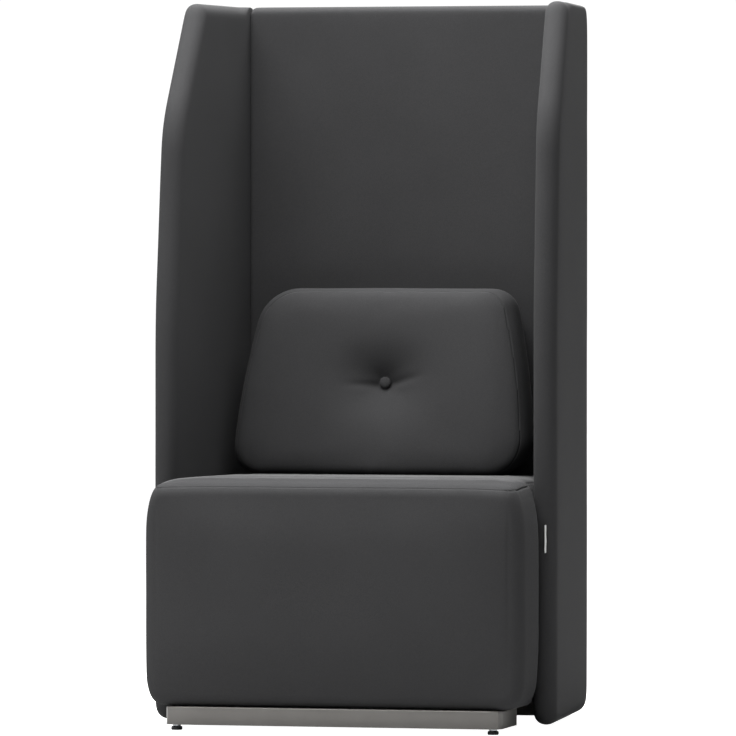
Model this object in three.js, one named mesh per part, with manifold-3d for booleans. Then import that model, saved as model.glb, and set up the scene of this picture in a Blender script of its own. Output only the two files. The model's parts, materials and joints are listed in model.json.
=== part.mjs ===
// Acoustic high back lounge chair with a loose buttoned back cushion.
// Millimetres, +Z up, the seat faces -Y, origin on the floor under the middle of the chair.
import * as THREE from 'three';
import { mergeVertices } from 'three/addons/utils/BufferGeometryUtils.js';
import Module from 'manifold-3d';

// Overall size
const overallHeight = 1325;
const overallDepth = 635;
const wingSpan = 758;
const wingSplayDeg = 4.9;
const panelFloorGap = 7.5;

// Seat block
const seatHeight = 450;
const seatUnderside = 43.5;
const noseSideStep = 26;
const noseLength = 138;
const noseShoulder = 29;
const seatBulge = 12;
const seatCrown = 8;
const seatFrontRadius = 26;
const seatRearRadius = 10;
const noseCornerWidth = 28;
const noseCornerHeight = 84;
const noseBottomWidth = 36;
const noseBottomHeight = 75;
const rearCornerWidth = 30;
const rearCornerHeight = 40;
const rearBottomWidth = 12;
const rearBottomHeight = 12;

// Side wings and back panel
const wingSetback = 170;
const wingThickness = 44;
const wingEdgeRadius = 17;
const leanStartHeight = 745;
const bendHeight = 1100;
const bendSetback = 37;
const topSetback = 167;
const leanRadius = 1500;
const bendRadius = 250;
const wingBottomFrontRadius = 30;
const wingBottomRearRadius = 45;
const wingTopRearRadius = 45;
const wingTopFrontRadius = 21;
const backThickness = 55;
const backEdgeRadius = 20;
const backCornerRadius = 8;

// Layers of a padded panel
const clothThickness = 2;
const coreThickness = 18;
const coreMargin = 16;
const hemSlotWidth = 12;
const hemSlotEndMargin = 70;

// Clearances
const gap = 0.3;
const panelGap = 0.5;
const cushionSeatGap = 0.7;
const boltGap = 0.3;
const overrun = 20;
const smallestRadius = 0.6;

// Seat box of boards
const frameFrontMargin = 54;
const frameRearMargin = 13;
const frameSideMargin = 30;
const railThickness = 22;
const railTop = 300;
const panelBoardThickness = 18;
const hemLap = 12;
const dustCoverThickness = 1.5;
const dustCoverGap = 0.4;

// Zigzag springs and their clip strips
const springCount = 4;
const springAmplitude = 25;
const springPitch = 42;
const springWireRadius = 1.8;
const springRise = 10;
const springStepsPerBar = 5;
const springWireSides = 4;
const clipSheet = 1.5;
const clipDepth = 18;
const clipLipDepth = 12;
const clipEndMargin = 24;
const springEndMargin = 37;
const springHeadroom = 4;

// Back cushion
const cushionSideRoom = 13.4;
const cushionTaper = 99;
const cushionHeight = 355;
const cushionThickness = 140;
const cushionOffset = -7;
const cushionLeanDeg = 12;
const cushionCornerRadius = 56;
const cushionDrawIn = 6;
const cushionPuffShare = 4.5;
const tuftDepthFront = 40;
const tuftDepthRear = 26;
const tuftWidth = 62;
const cushionRingShares = [0.12, 0.24, 0.44, 0.66, 0.84, 0.95];
const buttonRadius = 11;
const buttonHeight = 8;
const buttonFlange = 1.6;
const tuftCordRadius = 1.2;

// Steel base beams
const beamEndMargin = 67;
const beamDepth = 150;
const beamHeight = 32.5;
const beamBottom = 10.5;
const beamWall = 2.5;
const beamCornerRadius = 18;
const beamTopRadius = 2;
const beamSetback = 16;
const rearBeamGap = 4;
const rearBeamSideGap = 3;
const baseBoltShare = 0.64;

// Levelling feet
const footEndInset = 18;
const footEdgeInset = 22;
const footPadRadius = 10;
const footPadHeight = 7;
const studRadius = 4;
const studTop = 36;
const studHeadRadius = 5.6;
const studHeadHeight = 2.4;
const studHeadBottom = 2.3;
const collarWidth = 13;
const collarHeight = 3.4;
const bracketThickness = 4;
const bracketInnerReach = 30;
const nutWidth = 14;
const nutHeight = 6.5;

// Bolts
const boltRadius = 4;
const boltHeadWidth = 13;
const boltHeadHeight = 5.5;
const boltCoreDepth = 12;
const wingBoltHeights = [165];
const wingBoltShares = [0.15, 0.65];
const backBoltHeight = 165;
const backBoltInset = 130;
const connectorHeight = 1000;
const connectorGrip = 26;

// Blank side tab
const tabHeight = 50;
const tabReach = 12;
const tabThickness = 2;
const tabBottom = 322;
const tabOffset = 25;

// Facets
const cornerSteps = 4;
const smallCornerSteps = 3;
const edgeSteps = 3;
const topSpanSteps = 6;
const roundSides = 12;
const boltSides = 8;

// Places worked out from the sizes above
const splay = THREE.MathUtils.degToRad(wingSplayDeg);
const seatFrontY = -overallDepth / 2;
const rearY = overallDepth / 2;
const wingFrontY = seatFrontY + wingSetback;
const wingInnerHalf = wingSpan / 2 - wingThickness;
const wingDepth = (rearY - wingFrontY - wingThickness * Math.sin(splay)) / Math.cos(splay);
const backInnerY = rearY - backThickness;
const frameFrontY = seatFrontY + frameFrontMargin;
const seatRearY = backInnerY - panelGap;
const frameRearY = seatRearY - frameRearMargin;
const foamInset = clothThickness + gap;
const boardBottom = seatUnderside + clothThickness + gap;
const railBottom = boardBottom + panelBoardThickness + gap;
const springZ = railTop + gap + clipSheet + gap + springWireRadius;
const foamSlabBottom = springZ + springWireRadius + springRise + springHeadroom;
const beamTop = beamBottom + beamHeight;
const beamLength = wingSpan - 2 * beamEndMargin;
const noseWidth = wingSpan - 2 * noseSideStep;

const wasm = await Module();
wasm.setup();

const chair = new THREE.Group();

const finishes = {
  fabric: [0x3b3b3d, 0.95, 0],
  foam: [0xe8dfc4, 0.9, 0],
  filling: [0xeeeeea, 0.95, 0],
  plywood: [0xc59a63, 0.7, 0],
  steel: [0x9a9c9e, 0.35, 1],
  springSteel: [0x55575a, 0.4, 1],
  paintedSteel: [0x8f8a83, 0.4, 0.2],
  glide: [0x1a1a1b, 0.6, 0],
  lining: [0x151515, 0.95, 0],
  tab: [0xd9d9d6, 0.9, 0],
};

function addPiece(name, geometry, finish, parent = chair) {
  const [color, roughness, metalness] = finishes[finish];
  geometry.computeVertexNormals();
  const mesh = new THREE.Mesh(geometry, new THREE.MeshStandardMaterial({ color, roughness, metalness }));
  mesh.name = name;
  parent.add(mesh);
  return mesh;
}

// Solids and booleans

function turnedOut(geometry) {
  const position = geometry.getAttribute('position');
  const index = geometry.index.array;
  const [a, b, c] = [new THREE.Vector3(), new THREE.Vector3(), new THREE.Vector3()];
  let volume = 0;
  for (let i = 0; i < index.length; i += 3) {
    a.fromBufferAttribute(position, index[i]);
    b.fromBufferAttribute(position, index[i + 1]);
    c.fromBufferAttribute(position, index[i + 2]);
    volume += a.dot(b.cross(c));
  }
  if (volume < 0) {
    for (let i = 0; i < index.length; i += 3) {
      [index[i + 1], index[i + 2]] = [index[i + 2], index[i + 1]];
    }
  }
  return geometry;
}

function welded(geometry) {
  const bare = geometry.clone();
  bare.deleteAttribute('normal');
  bare.deleteAttribute('uv');
  return turnedOut(mergeVertices(bare, 1e-4));
}

function toSolid(geometry) {
  const merged = welded(geometry);
  const vertProperties = new Float32Array(merged.getAttribute('position').array);
  const triVerts = new Uint32Array(merged.index.array);
  return new wasm.Manifold(new wasm.Mesh({ numProp: 3, vertProperties, triVerts }));
}

function toGeometry(solid) {
  const mesh = solid.getMesh();
  const geometry = new THREE.BufferGeometry();
  geometry.setAttribute('position', new THREE.BufferAttribute(new Float32Array(mesh.vertProperties), 3));
  geometry.setIndex(new THREE.BufferAttribute(new Uint32Array(mesh.triVerts), 1));
  return geometry;
}

function cutBy(geometry, cutters) {
  const whole = cutters.reduce((solid, cutter) => solid.subtract(toSolid(cutter)), toSolid(geometry));
  return toGeometry(whole);
}

function joined(...geometries) {
  return toGeometry(geometries.map(toSolid).reduce((a, b) => a.add(b)));
}

function overlapOf(a, b) {
  return toGeometry(toSolid(a).intersect(toSolid(b)));
}

// A closed skin through rings of equal point counts, with a fan over each end.
function ringSolid(rings, startCentre, endCentre) {
  const count = rings[0].length;
  const points = [...rings.flat(), startCentre, endCentre];
  const start = points.length - 2;
  const index = [];
  for (let r = 0; r < rings.length - 1; r++) {
    for (let i = 0; i < count; i++) {
      const j = (i + 1) % count;
      const [a, b] = [r * count + i, r * count + j];
      index.push(a, b, b + count, a, b + count, a + count);
    }
  }
  const last = (rings.length - 1) * count;
  for (let i = 0; i < count; i++) {
    const j = (i + 1) % count;
    index.push(start, j, i, start + 1, last + i, last + j);
  }
  const geometry = new THREE.BufferGeometry().setFromPoints(points);
  geometry.setIndex(index);
  return turnedOut(geometry);
}

function middleOf(ring) {
  return ring.reduce((sum, p) => sum.add(p), new THREE.Vector3()).divideScalar(ring.length);
}

function lerp(a, b, t) {
  return THREE.MathUtils.lerp(a, b, t);
}

function box(lowX, highX, lowY, highY, lowZ, highZ) {
  const geometry = new THREE.BoxGeometry(highX - lowX, highY - lowY, highZ - lowZ);
  return geometry.translate((lowX + highX) / 2, (lowY + highY) / 2, (lowZ + highZ) / 2);
}

function prism(points, lowZ, highZ) {
  const shape = new THREE.Shape(points.map(([x, y]) => new THREE.Vector2(x, y)));
  const geometry = new THREE.ExtrudeGeometry(shape, { depth: highZ - lowZ, bevelEnabled: false });
  return geometry.translate(0, 0, lowZ);
}

function cylinder(radius, lowZ, highZ, sides = roundSides) {
  const geometry = new THREE.CylinderGeometry(radius, radius, highZ - lowZ, sides);
  return geometry.rotateX(Math.PI / 2).translate(0, 0, (lowZ + highZ) / 2);
}

function hexagon(widthAcross, lowZ, highZ) {
  const radius = widthAcross / 2 / Math.cos(Math.PI / 6);
  return cylinder(radius, lowZ, highZ, 6);
}

function lathe(profile, sides = roundSides) {
  const geometry = new THREE.LatheGeometry(profile.map(([r, z]) => new THREE.Vector2(r, z)), sides);
  return geometry.rotateX(Math.PI / 2);
}

// A convex outline with a rounded corner at each listed point, moved in by an inset.
// Sides may carry extra points that are drawn in, as the seam of a stuffed cushion is,
// each by the amount given for the side that starts at that corner.
function roundedOutline(corners, inset, sidePoints = 0, drawIns = []) {
  const count = corners.length;
  const arcs = corners.map((corner, i) => {
    const before = corners[(i + count - 1) % count].at;
    const after = corners[(i + 1) % count].at;
    const into = corner.at.clone().sub(before).normalize();
    const out = after.clone().sub(corner.at).normalize();
    const inwardA = new THREE.Vector2(-into.y, into.x);
    const inwardB = new THREE.Vector2(-out.y, out.x);
    const turn = Math.atan2(into.cross(out), into.dot(out));
    const slide = inset / (1 + inwardA.dot(inwardB));
    const tip = corner.at.clone().addScaledVector(inwardA, slide).addScaledVector(inwardB, slide);
    const radius = Math.max(corner.radius - inset, smallestRadius);
    const start = tip.addScaledVector(into, -radius * Math.tan(turn / 2));
    const centre = start.clone().addScaledVector(inwardA, radius);
    const points = [];
    for (let k = 0; k <= corner.steps; k++) {
      points.push(start.clone().rotateAround(centre, (turn * k) / corner.steps));
    }
    return { points, inward: inwardB };
  });
  return arcs.flatMap((arc, i) => {
    const from = arc.points.at(-1);
    const to = arcs[(i + 1) % count].points[0];
    const side = [];
    for (let k = 1; k <= sidePoints; k++) {
      const share = k / (sidePoints + 1);
      const point = from.clone().lerp(to, share);
      side.push(point.addScaledVector(arc.inward, drawIns[i] * Math.sin(Math.PI * share)));
    }
    return [...arc.points, ...side];
  });
}

function corner(x, y, radius, steps = cornerSteps) {
  return { at: new THREE.Vector2(x, y), radius, steps };
}

// Plan lines that follow the wings

function wingInnerX(y) {
  return wingInnerHalf - (y - wingFrontY) * Math.tan(splay);
}

function railOuterX(y) {
  return wingInnerX(y) - frameSideMargin;
}

function framePlan(grow) {
  const [front, rear] = [frameFrontY - grow, frameRearY + grow];
  const [frontX, rearX] = [railOuterX(frameFrontY) + grow, railOuterX(frameRearY) + grow];
  return [[-frontX, front], [frontX, front], [rearX, rear], [-rearX, rear]];
}

// Wing: a bullnosed padded panel, drawn in its own frame.
// There x runs from the inner face outwards, y runs back from the front edge.

function wingCorners() {
  return [
    corner(0, panelFloorGap, wingBottomFrontRadius, smallCornerSteps),
    corner(wingDepth, panelFloorGap, wingBottomRearRadius),
    corner(wingDepth, overallHeight, wingTopRearRadius),
    corner(topSetback, overallHeight, wingTopFrontRadius, smallCornerSteps),
    corner(bendSetback, bendHeight, bendRadius),
    corner(0, leanStartHeight, leanRadius, smallCornerSteps),
  ];
}

function paddedPanel(corners, thickness, edgeRadius, inset) {
  const radius = edgeRadius - inset;
  const halfRings = [];
  for (let k = 0; k <= edgeSteps; k++) {
    const angle = (Math.PI / 2) * (k / edgeSteps);
    const outline = roundedOutline(corners, inset + radius * (1 - Math.sin(angle)));
    halfRings.push({ outline, x: inset + radius * (1 - Math.cos(angle)) });
  }
  const ringAt = ({ outline }, x) => outline.map((p) => new THREE.Vector3(x, p.x, p.y));
  const rings = [
    ...halfRings.map((ring) => ringAt(ring, ring.x)),
    ...halfRings.toReversed().map((ring) => ringAt(ring, thickness - ring.x)),
  ];
  return ringSolid(rings, middleOf(rings[0]), middleOf(rings.at(-1)));
}

function boardFromOutline(outline, lowX, highX) {
  const shape = new THREE.Shape(outline);
  const geometry = new THREE.ExtrudeGeometry(shape, { depth: highX - lowX, bevelEnabled: false });
  const turn = new THREE.Matrix4().makeBasis(
    new THREE.Vector3(0, 1, 0), new THREE.Vector3(0, 0, 1), new THREE.Vector3(1, 0, 0));
  return geometry.applyMatrix4(turn).translate(lowX, 0, 0);
}

const coreLow = (wingThickness - coreThickness) / 2;
const coreHigh = coreLow + coreThickness;
const coreBottom = panelFloorGap + coreMargin;

function wingHemSlot(top) {
  const middle = wingThickness / 2;
  return box(middle - hemSlotWidth / 2, middle + hemSlotWidth / 2,
    hemSlotEndMargin, wingDepth - hemSlotEndMargin, panelFloorGap - overrun, top);
}

// Matrix from the wing's frame to the chair's; side is 1 for the right wing and -1 for the left.
function wingMatrix(side) {
  const matrix = new THREE.Matrix4().makeRotationZ(splay);
  matrix.setPosition(wingInnerHalf, wingFrontY, 0);
  return new THREE.Matrix4().makeScale(side, 1, 1).multiply(matrix);
}

// Bolts lie along +x of the wing's frame or of the chair's, head first.

function boltAlongX(headX, tipX, y, z) {
  const length = tipX - headX;
  const head = hexagon(boltHeadWidth, -boltHeadHeight, 0);
  const shank = cylinder(boltRadius, -boltHeadHeight / 2, length, boltSides);
  return joined(head, shank).rotateY(Math.PI / 2).translate(headX, y, z);
}

function boreAlongX(lowX, highX, y, z, radius = boltRadius + boltGap) {
  return cylinder(radius, lowX, highX, roundSides).rotateY(Math.PI / 2).translate(0, y, z);
}

const boltHeadX = -frameSideMargin * Math.cos(splay) - railThickness - gap;
const wingBoltTipX = coreLow + boltCoreDepth;
const wingBoltSpots = wingBoltHeights.flatMap((z) =>
  wingBoltShares.map((share) => ({ y: share * wingDepth, z })));
const connectorY = (backInnerY + backThickness / 2 - wingFrontY) / Math.cos(splay);
const connectorTipX = -panelGap - coreMargin - connectorGrip;

function wingBores() {
  return wingBoltSpots.map(({ y, z }) => boreAlongX(boltHeadX - gap, wingBoltTipX + gap, y, z));
}

function connectorBores() {
  const headHole = boltHeadWidth / 2 / Math.cos(Math.PI / 6) + gap;
  return [
    boreAlongX(connectorTipX - gap, coreHigh + overrun, connectorY, connectorHeight),
    boreAlongX(coreHigh, coreHigh + gap + boltHeadHeight + gap, connectorY, connectorHeight, headHole),
  ];
}

function addWing(side, label) {
  const group = new THREE.Group();
  wingMatrix(side).decompose(group.position, group.quaternion, group.scale);
  chair.add(group);
  const corners = wingCorners();
  const bores = wingBores();
  const [connectorShankBore, connectorHeadBore] = connectorBores();
  const innerBore = boreAlongX(connectorTipX, wingThickness / 2, connectorY, connectorHeight);

  const cover = cutBy(paddedPanel(corners, wingThickness, wingEdgeRadius, 0), [
    paddedPanel(corners, wingThickness, wingEdgeRadius, clothThickness),
    wingHemSlot(coreBottom),
    innerBore,
    ...bores,
  ]);
  addPiece(`${label}_wing_cover`, cover, 'fabric', group);

  const pocket = boardFromOutline(roundedOutline(corners, coreMargin - gap), coreLow - gap, coreHigh + gap);
  const foam = cutBy(paddedPanel(corners, wingThickness, wingEdgeRadius, foamInset), [
    pocket,
    wingHemSlot(coreBottom + overrun),
    innerBore,
    connectorHeadBore,
    ...bores,
  ]);
  addPiece(`${label}_wing_foam`, foam, 'foam', group);

  const board = boardFromOutline(roundedOutline(corners, coreMargin), coreLow, coreHigh);
  addPiece(`${label}_wing_core`, cutBy(board, [connectorShankBore, ...bores]), 'plywood', group);

  wingBoltSpots.forEach(({ y, z }, i) => {
    const bolt = boltAlongX(boltHeadX, wingBoltTipX, y, z);
    addPiece(`${label}_wing_bolt_${i + 1}`, bolt, 'steel', group);
  });
  const connector = boltAlongX(0, coreHigh + gap - connectorTipX, 0, 0);
  connector.rotateZ(Math.PI).translate(coreHigh + gap, connectorY, connectorHeight);
  addPiece(`${label}_connector_bolt`, connector, 'steel', group);
}

// Cutters that reach from the wing's frame into pieces of the seat and the back.
function onBothSides(makeCutters) {
  return [1, -1].flatMap((side) => makeCutters().map((cutter) => cutter.applyMatrix4(wingMatrix(side))));
}

// Back panel between the wings

const backBoltX = wingInnerX(backInnerY) - backBoltInset;

function backSection(inset, sideInset) {
  const [front, rear] = [backInnerY + inset, rearY - inset];
  const halfAt = (y) => wingInnerX(y) - panelGap / Math.cos(splay) - sideInset;
  const radius = Math.max(backCornerRadius, 0);
  return [
    corner(-halfAt(front), front, radius, smallCornerSteps),
    corner(halfAt(front), front, radius, smallCornerSteps),
    corner(halfAt(rear), rear, radius, smallCornerSteps),
    corner(-halfAt(rear), rear, radius, smallCornerSteps),
  ];
}

function backForm(inset) {
  const radius = backEdgeRadius - inset;
  const [low, high] = [panelFloorGap + inset, overallHeight - inset];
  const ends = [];
  for (let k = 0; k <= edgeSteps; k++) {
    const angle = (Math.PI / 2) * (k / edgeSteps);
    ends.push({ shrink: radius * (1 - Math.sin(angle)), climb: radius * (1 - Math.cos(angle)) });
  }
  const ringAt = (shrink, z) => {
    const outline = roundedOutline(backSection(inset + shrink, inset), 0);
    return outline.map((p) => new THREE.Vector3(p.x, p.y, z));
  };
  const rings = [
    ...ends.map(({ shrink, climb }) => ringAt(shrink, low + climb)),
    ...ends.toReversed().map(({ shrink, climb }) => ringAt(shrink, high - climb)),
  ];
  return ringSolid(rings, middleOf(rings[0]), middleOf(rings.at(-1)));
}

const backCoreFrontY = backInnerY + (backThickness - coreThickness) / 2;
const backCoreRearY = backCoreFrontY + coreThickness;

function backCore(grow) {
  const half = (y) => wingInnerX(y) - panelGap - coreMargin + grow;
  const [front, rear] = [backCoreFrontY - grow, backCoreRearY + grow];
  const plan = [[-half(front), front], [half(front), front], [half(rear), rear], [-half(rear), rear]];
  return prism(plan, coreBottom - grow, overallHeight - coreMargin + grow);
}

function backBoltBores() {
  return [-1, 1].map((side) => {
    const bore = cylinder(boltRadius + boltGap, frameRearY - railThickness - boltHeadHeight,
      backCoreFrontY + boltCoreDepth + gap);
    return bore.rotateX(-Math.PI / 2).translate(side * backBoltX, 0, backBoltHeight);
  });
}

function addBack() {
  const connectorCutters = () => [connectorBores()[0]];
  const slotMiddle = (backCoreFrontY + backCoreRearY) / 2;
  const slotHalf = wingInnerX(slotMiddle) - hemSlotEndMargin;
  const slotTo = (top) => box(-slotHalf, slotHalf, slotMiddle - hemSlotWidth / 2,
    slotMiddle + hemSlotWidth / 2, panelFloorGap - overrun, top);
  const holes = () => [...onBothSides(connectorCutters), ...backBoltBores()];

  const cover = cutBy(backForm(0), [backForm(clothThickness), slotTo(coreBottom), ...holes()]);
  addPiece('back_cover', cover, 'fabric');
  const foam = cutBy(backForm(foamInset), [backCore(gap), slotTo(coreBottom + overrun), ...holes()]);
  addPiece('back_foam', foam, 'foam');
  addPiece('back_core', cutBy(backCore(0), holes()), 'plywood');

  for (const [side, label] of [[-1, 'left'], [1, 'right']]) {
    const headY = frameRearY - railThickness - gap;
    const bolt = boltAlongX(0, backCoreFrontY + boltCoreDepth - headY, 0, 0).rotateZ(Math.PI / 2);
    bolt.translate(side * backBoltX, headY, backBoltHeight);
    addPiece(`back_bolt_${label}`, bolt, 'steel');
  }
}

// Seat block: a padded nose in front of the wings and a narrower body between them

function seatRing(y, half, bottom, top, corners, crown) {
  const { cornerWidth, cornerHeight, bottomWidth, bottomHeight } = corners;
  const ring = [];
  const put = (x, z) => ring.push(new THREE.Vector3(x, y, z));
  const crownAt = (x) => crown * (1 - (x / half) ** 2);
  for (let k = 0; k <= smallCornerSteps; k++) {
    const angle = (Math.PI / 2) * (k / smallCornerSteps);
    put(half - bottomWidth * (1 - Math.sin(angle)), bottom + bottomHeight * (1 - Math.cos(angle)));
  }
  for (let k = 0; k <= cornerSteps; k++) {
    const angle = (Math.PI / 2) * (k / cornerSteps);
    const x = half - cornerWidth * (1 - Math.cos(angle));
    put(x, top - cornerHeight * (1 - Math.sin(angle)) + crownAt(x));
  }
  const reach = half - cornerWidth;
  for (let k = 1; k < topSpanSteps; k++) {
    const x = lerp(reach, -reach, k / topSpanSteps);
    put(x, top + crownAt(x));
  }
  const halfCount = smallCornerSteps + cornerSteps + 2;
  for (let k = halfCount - 1; k >= 0; k--) {
    put(-ring[k].x, ring[k].z);
  }
  return ring;
}

const nose = {
  cornerWidth: noseCornerWidth, cornerHeight: noseCornerHeight,
  bottomWidth: noseBottomWidth, bottomHeight: noseBottomHeight,
};
const rearBody = {
  cornerWidth: rearCornerWidth, cornerHeight: rearCornerHeight,
  bottomWidth: rearBottomWidth, bottomHeight: rearBottomHeight,
};

function seatForm(inset) {
  const bottom = seatUnderside + inset;
  const top = seatHeight - seatCrown - inset;
  const middle = (bottom + top) / 2;
  const noseHalf = noseWidth / 2 - inset;
  const faceY = seatFrontY + seatBulge + inset;
  const radius = seatFrontRadius - inset;
  const rings = [];
  const put = (y, half, shrink, corners, keep = 1) => {
    const trimmed = Object.fromEntries(Object.entries(corners).map(([key, size]) =>
      [key, Math.max(size - inset - shrink, smallestRadius) * keep]));
    rings.push(seatRing(y, (half - shrink) * keep,
      lerp(middle, bottom + shrink, keep), lerp(middle, top - shrink, keep), trimmed, seatCrown * keep));
  };
  for (const share of [0.4, 0.75]) {
    put(faceY - seatBulge * (1 - share ** 2), noseHalf, radius, nose, share);
  }
  for (let k = 0; k <= edgeSteps + 1; k++) {
    const angle = (Math.PI / 2) * (k / (edgeSteps + 1));
    put(faceY + radius * (1 - Math.cos(angle)), noseHalf, radius * (1 - Math.sin(angle)), nose);
  }
  const noseEndY = seatFrontY + noseLength - inset;
  for (let k = 0; k <= edgeSteps; k++) {
    const angle = (Math.PI / 2) * (k / edgeSteps);
    const y = noseEndY + noseShoulder * Math.sin(angle);
    const bodyHalf = wingInnerX(y + inset) - panelGap - inset;
    const corners = Object.fromEntries(Object.keys(nose).map((key) =>
      [key, lerp(nose[key], rearBody[key], Math.sin(angle) ** 2)]));
    put(y, lerp(noseHalf, bodyHalf, 1 - Math.cos(angle)), 0, corners);
  }
  const endY = seatRearY - inset;
  const rearRadius = seatRearRadius - inset;
  for (const angle of [0, Math.PI / 4, Math.PI / 2]) {
    const y = endY - rearRadius * (1 - Math.sin(angle));
    put(y, wingInnerX(y) - panelGap - inset, rearRadius * (1 - Math.cos(angle)), rearBody);
  }
  const start = new THREE.Vector3(0, faceY - seatBulge, middle);
  return ringSolid(rings, start, middleOf(rings.at(-1)));
}

const baseBoltPlaces = [-1, 1].map((side) => (side * baseBoltShare * beamLength) / 2);
const frontBeamY = seatFrontY + beamSetback + beamDepth / 2;
const rearBeamY = backInnerY - rearBeamGap - beamDepth / 2;

function baseBoltBores() {
  return [frontBeamY, rearBeamY].flatMap((y) => baseBoltPlaces.map((x) =>
    cylinder(boltRadius + boltGap, beamBottom, railTop).translate(x, y, 0)));
}

function addSeat() {
  const sideBores = () => onBothSides(wingBores);
  const opening = prism(framePlan(-hemLap), seatUnderside - overrun, boardBottom + gap);
  const cover = cutBy(seatForm(0), [seatForm(clothThickness), opening, ...sideBores(), ...backBoltBores()]);
  addPiece('seat_cover', cover, 'fabric');

  const frameSpace = prism(framePlan(gap), seatUnderside - overrun, foamSlabBottom);
  const foam = cutBy(seatForm(foamInset), [frameSpace, ...sideBores(), ...backBoltBores()]);
  addPiece('seat_foam', foam, 'foam');

  const board = prism(framePlan(0), boardBottom, boardBottom + panelBoardThickness);
  addPiece('seat_board', cutBy(board, baseBoltBores()), 'plywood');

  const dustBottom = seatUnderside + gap;
  const dust = prism(framePlan(-hemLap - dustCoverGap), dustBottom, dustBottom + dustCoverThickness);
  addPiece('dust_cover', cutBy(dust, baseBoltBores()), 'lining');

  const frontHalf = railOuterX(frameFrontY + railThickness);
  const frontRail = box(-frontHalf, frontHalf, frameFrontY, frameFrontY + railThickness, railBottom, railTop);
  addPiece('front_rail', frontRail, 'plywood');

  const rearHalf = railOuterX(frameRearY);
  const rearRail = box(-rearHalf, rearHalf, frameRearY - railThickness, frameRearY, railBottom, railTop);
  addPiece('rear_rail', cutBy(rearRail, backBoltBores()), 'plywood');

  const sideFrontY = frameFrontY + railThickness + gap;
  const sideRearY = frameRearY - railThickness - gap;
  const thickness = railThickness / Math.cos(splay);
  for (const [side, label] of [[-1, 'left'], [1, 'right']]) {
    const plan = [
      [railOuterX(sideFrontY) * side, sideFrontY],
      [railOuterX(sideRearY) * side, sideRearY],
      [(railOuterX(sideRearY) - thickness) * side, sideRearY],
      [(railOuterX(sideFrontY) - thickness) * side, sideFrontY],
    ];
    const rail = cutBy(prism(plan, railBottom, railTop), sideBores());
    addPiece(`${label}_rail`, rail, 'plywood');
  }
}

// Zigzag springs hooked into clip strips on the front and rear rails

class ZigzagWire extends THREE.Curve {
  constructor(x, frontY, rearY_, bars) {
    super();
    Object.assign(this, { x, frontY, rearY_, bars });
  }

  getPoint(t, target = new THREE.Vector3()) {
    const pitch = (this.rearY_ - this.frontY) / this.bars;
    const radius = pitch / 2;
    const straight = 2 * (springAmplitude - radius);
    const turn = Math.PI * radius;
    const unit = straight + turn;
    const travelled = t * (this.bars * unit + straight);
    const bar = Math.min(Math.floor(travelled / unit), this.bars);
    const along = travelled - bar * unit;
    const way = bar % 2 ? -1 : 1;
    const y = this.frontY + bar * pitch;
    const rise = springRise * Math.sin(Math.PI * t) ** 2;
    if (along <= straight) {
      return target.set(this.x + way * (along - straight / 2), y, springZ + rise);
    }
    const angle = ((along - straight) / turn) * Math.PI;
    const x = this.x + way * (straight / 2 + radius * Math.sin(angle));
    return target.set(x, y + radius * (1 - Math.cos(angle)), springZ + rise);
  }
}

function wireSection(radius) {
  const points = [];
  for (let k = 0; k < springWireSides; k++) {
    const angle = (2 * Math.PI * k) / springWireSides;
    points.push(new THREE.Vector2(radius * Math.cos(angle), radius * Math.sin(angle)));
  }
  return new THREE.Shape(points);
}

const clipHalf = railOuterX(frameRearY) - clipEndMargin;

function clipStrip(openY, wallY) {
  const way = Math.sign(openY - wallY);
  const base = railTop + gap;
  const lip = springZ + springWireRadius + gap;
  const [sheet, depth, lipDepth] = [clipSheet, clipDepth, clipLipDepth];
  const outline = [
    [0, base], [depth, base], [depth, base + sheet], [sheet, base + sheet],
    [sheet, lip], [lipDepth, lip], [lipDepth, lip + sheet], [0, lip + sheet],
  ];
  const shape = new THREE.Shape(outline.map(([u, z]) => new THREE.Vector2(wallY + way * u, z)));
  return boardFromOutline(shape.getPoints(), -clipHalf, clipHalf);
}

function addSprings() {
  const frontWall = frameFrontY + gap;
  const rearWall = frameRearY - gap;
  addPiece('front_clip_strip', clipStrip(frontWall + clipDepth, frontWall), 'steel');
  addPiece('rear_clip_strip', clipStrip(rearWall - clipDepth, rearWall), 'steel');
  const seatOfWire = clipSheet + gap + springWireRadius;
  const [frontY, endY] = [frontWall + seatOfWire, rearWall - seatOfWire];
  const bars = Math.round((endY - frontY) / springPitch);
  const reach = clipHalf - springEndMargin;
  for (let k = 0; k < springCount; k++) {
    const x = lerp(-reach, reach, k / (springCount - 1));
    const wire = new THREE.ExtrudeGeometry(wireSection(springWireRadius), {
      steps: bars * springStepsPerBar,
      extrudePath: new ZigzagWire(x, frontY, endY, bars),
      bevelEnabled: false,
    });
    addPiece(`seat_spring_${k + 1}`, wire, 'springSteel');
  }
}

// Loose back cushion with one sewn tuft. It leans back, and is a little narrower than the space between
// the wings.

const cushionLean = THREE.MathUtils.degToRad(cushionLeanDeg);
const cushionRestY = backInnerY - cushionThickness / 2 - (cushionHeight / 2) * Math.sin(cushionLean);
const cushionBottomWidth = 2 * (wingInnerX(cushionRestY) - cushionSideRoom);
const cushionTopWidth = cushionBottomWidth - cushionTaper;

function cushionCorners() {
  const [half, topHalf] = [cushionBottomWidth / 2, cushionTopWidth / 2];
  const steps = cornerSteps - 1;
  return [
    corner(-half, 0, cushionCornerRadius, steps),
    corner(half, 0, cushionCornerRadius, steps),
    corner(topHalf, cushionHeight, cushionCornerRadius, steps),
    corner(-topHalf, cushionHeight, cushionCornerRadius, steps),
  ];
}

function cushionSurface(share, radius, side, inset) {
  const puff = (cushionThickness / 2 - inset) * Math.sqrt(1 - share ** cushionPuffShare);
  const depth = side < 0 ? tuftDepthFront : tuftDepthRear;
  const beyondButton = Math.max(radius - buttonRadius - gap, 0);
  return side * (puff - depth * Math.exp(-((beyondButton / tuftWidth) ** 2)));
}

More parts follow.
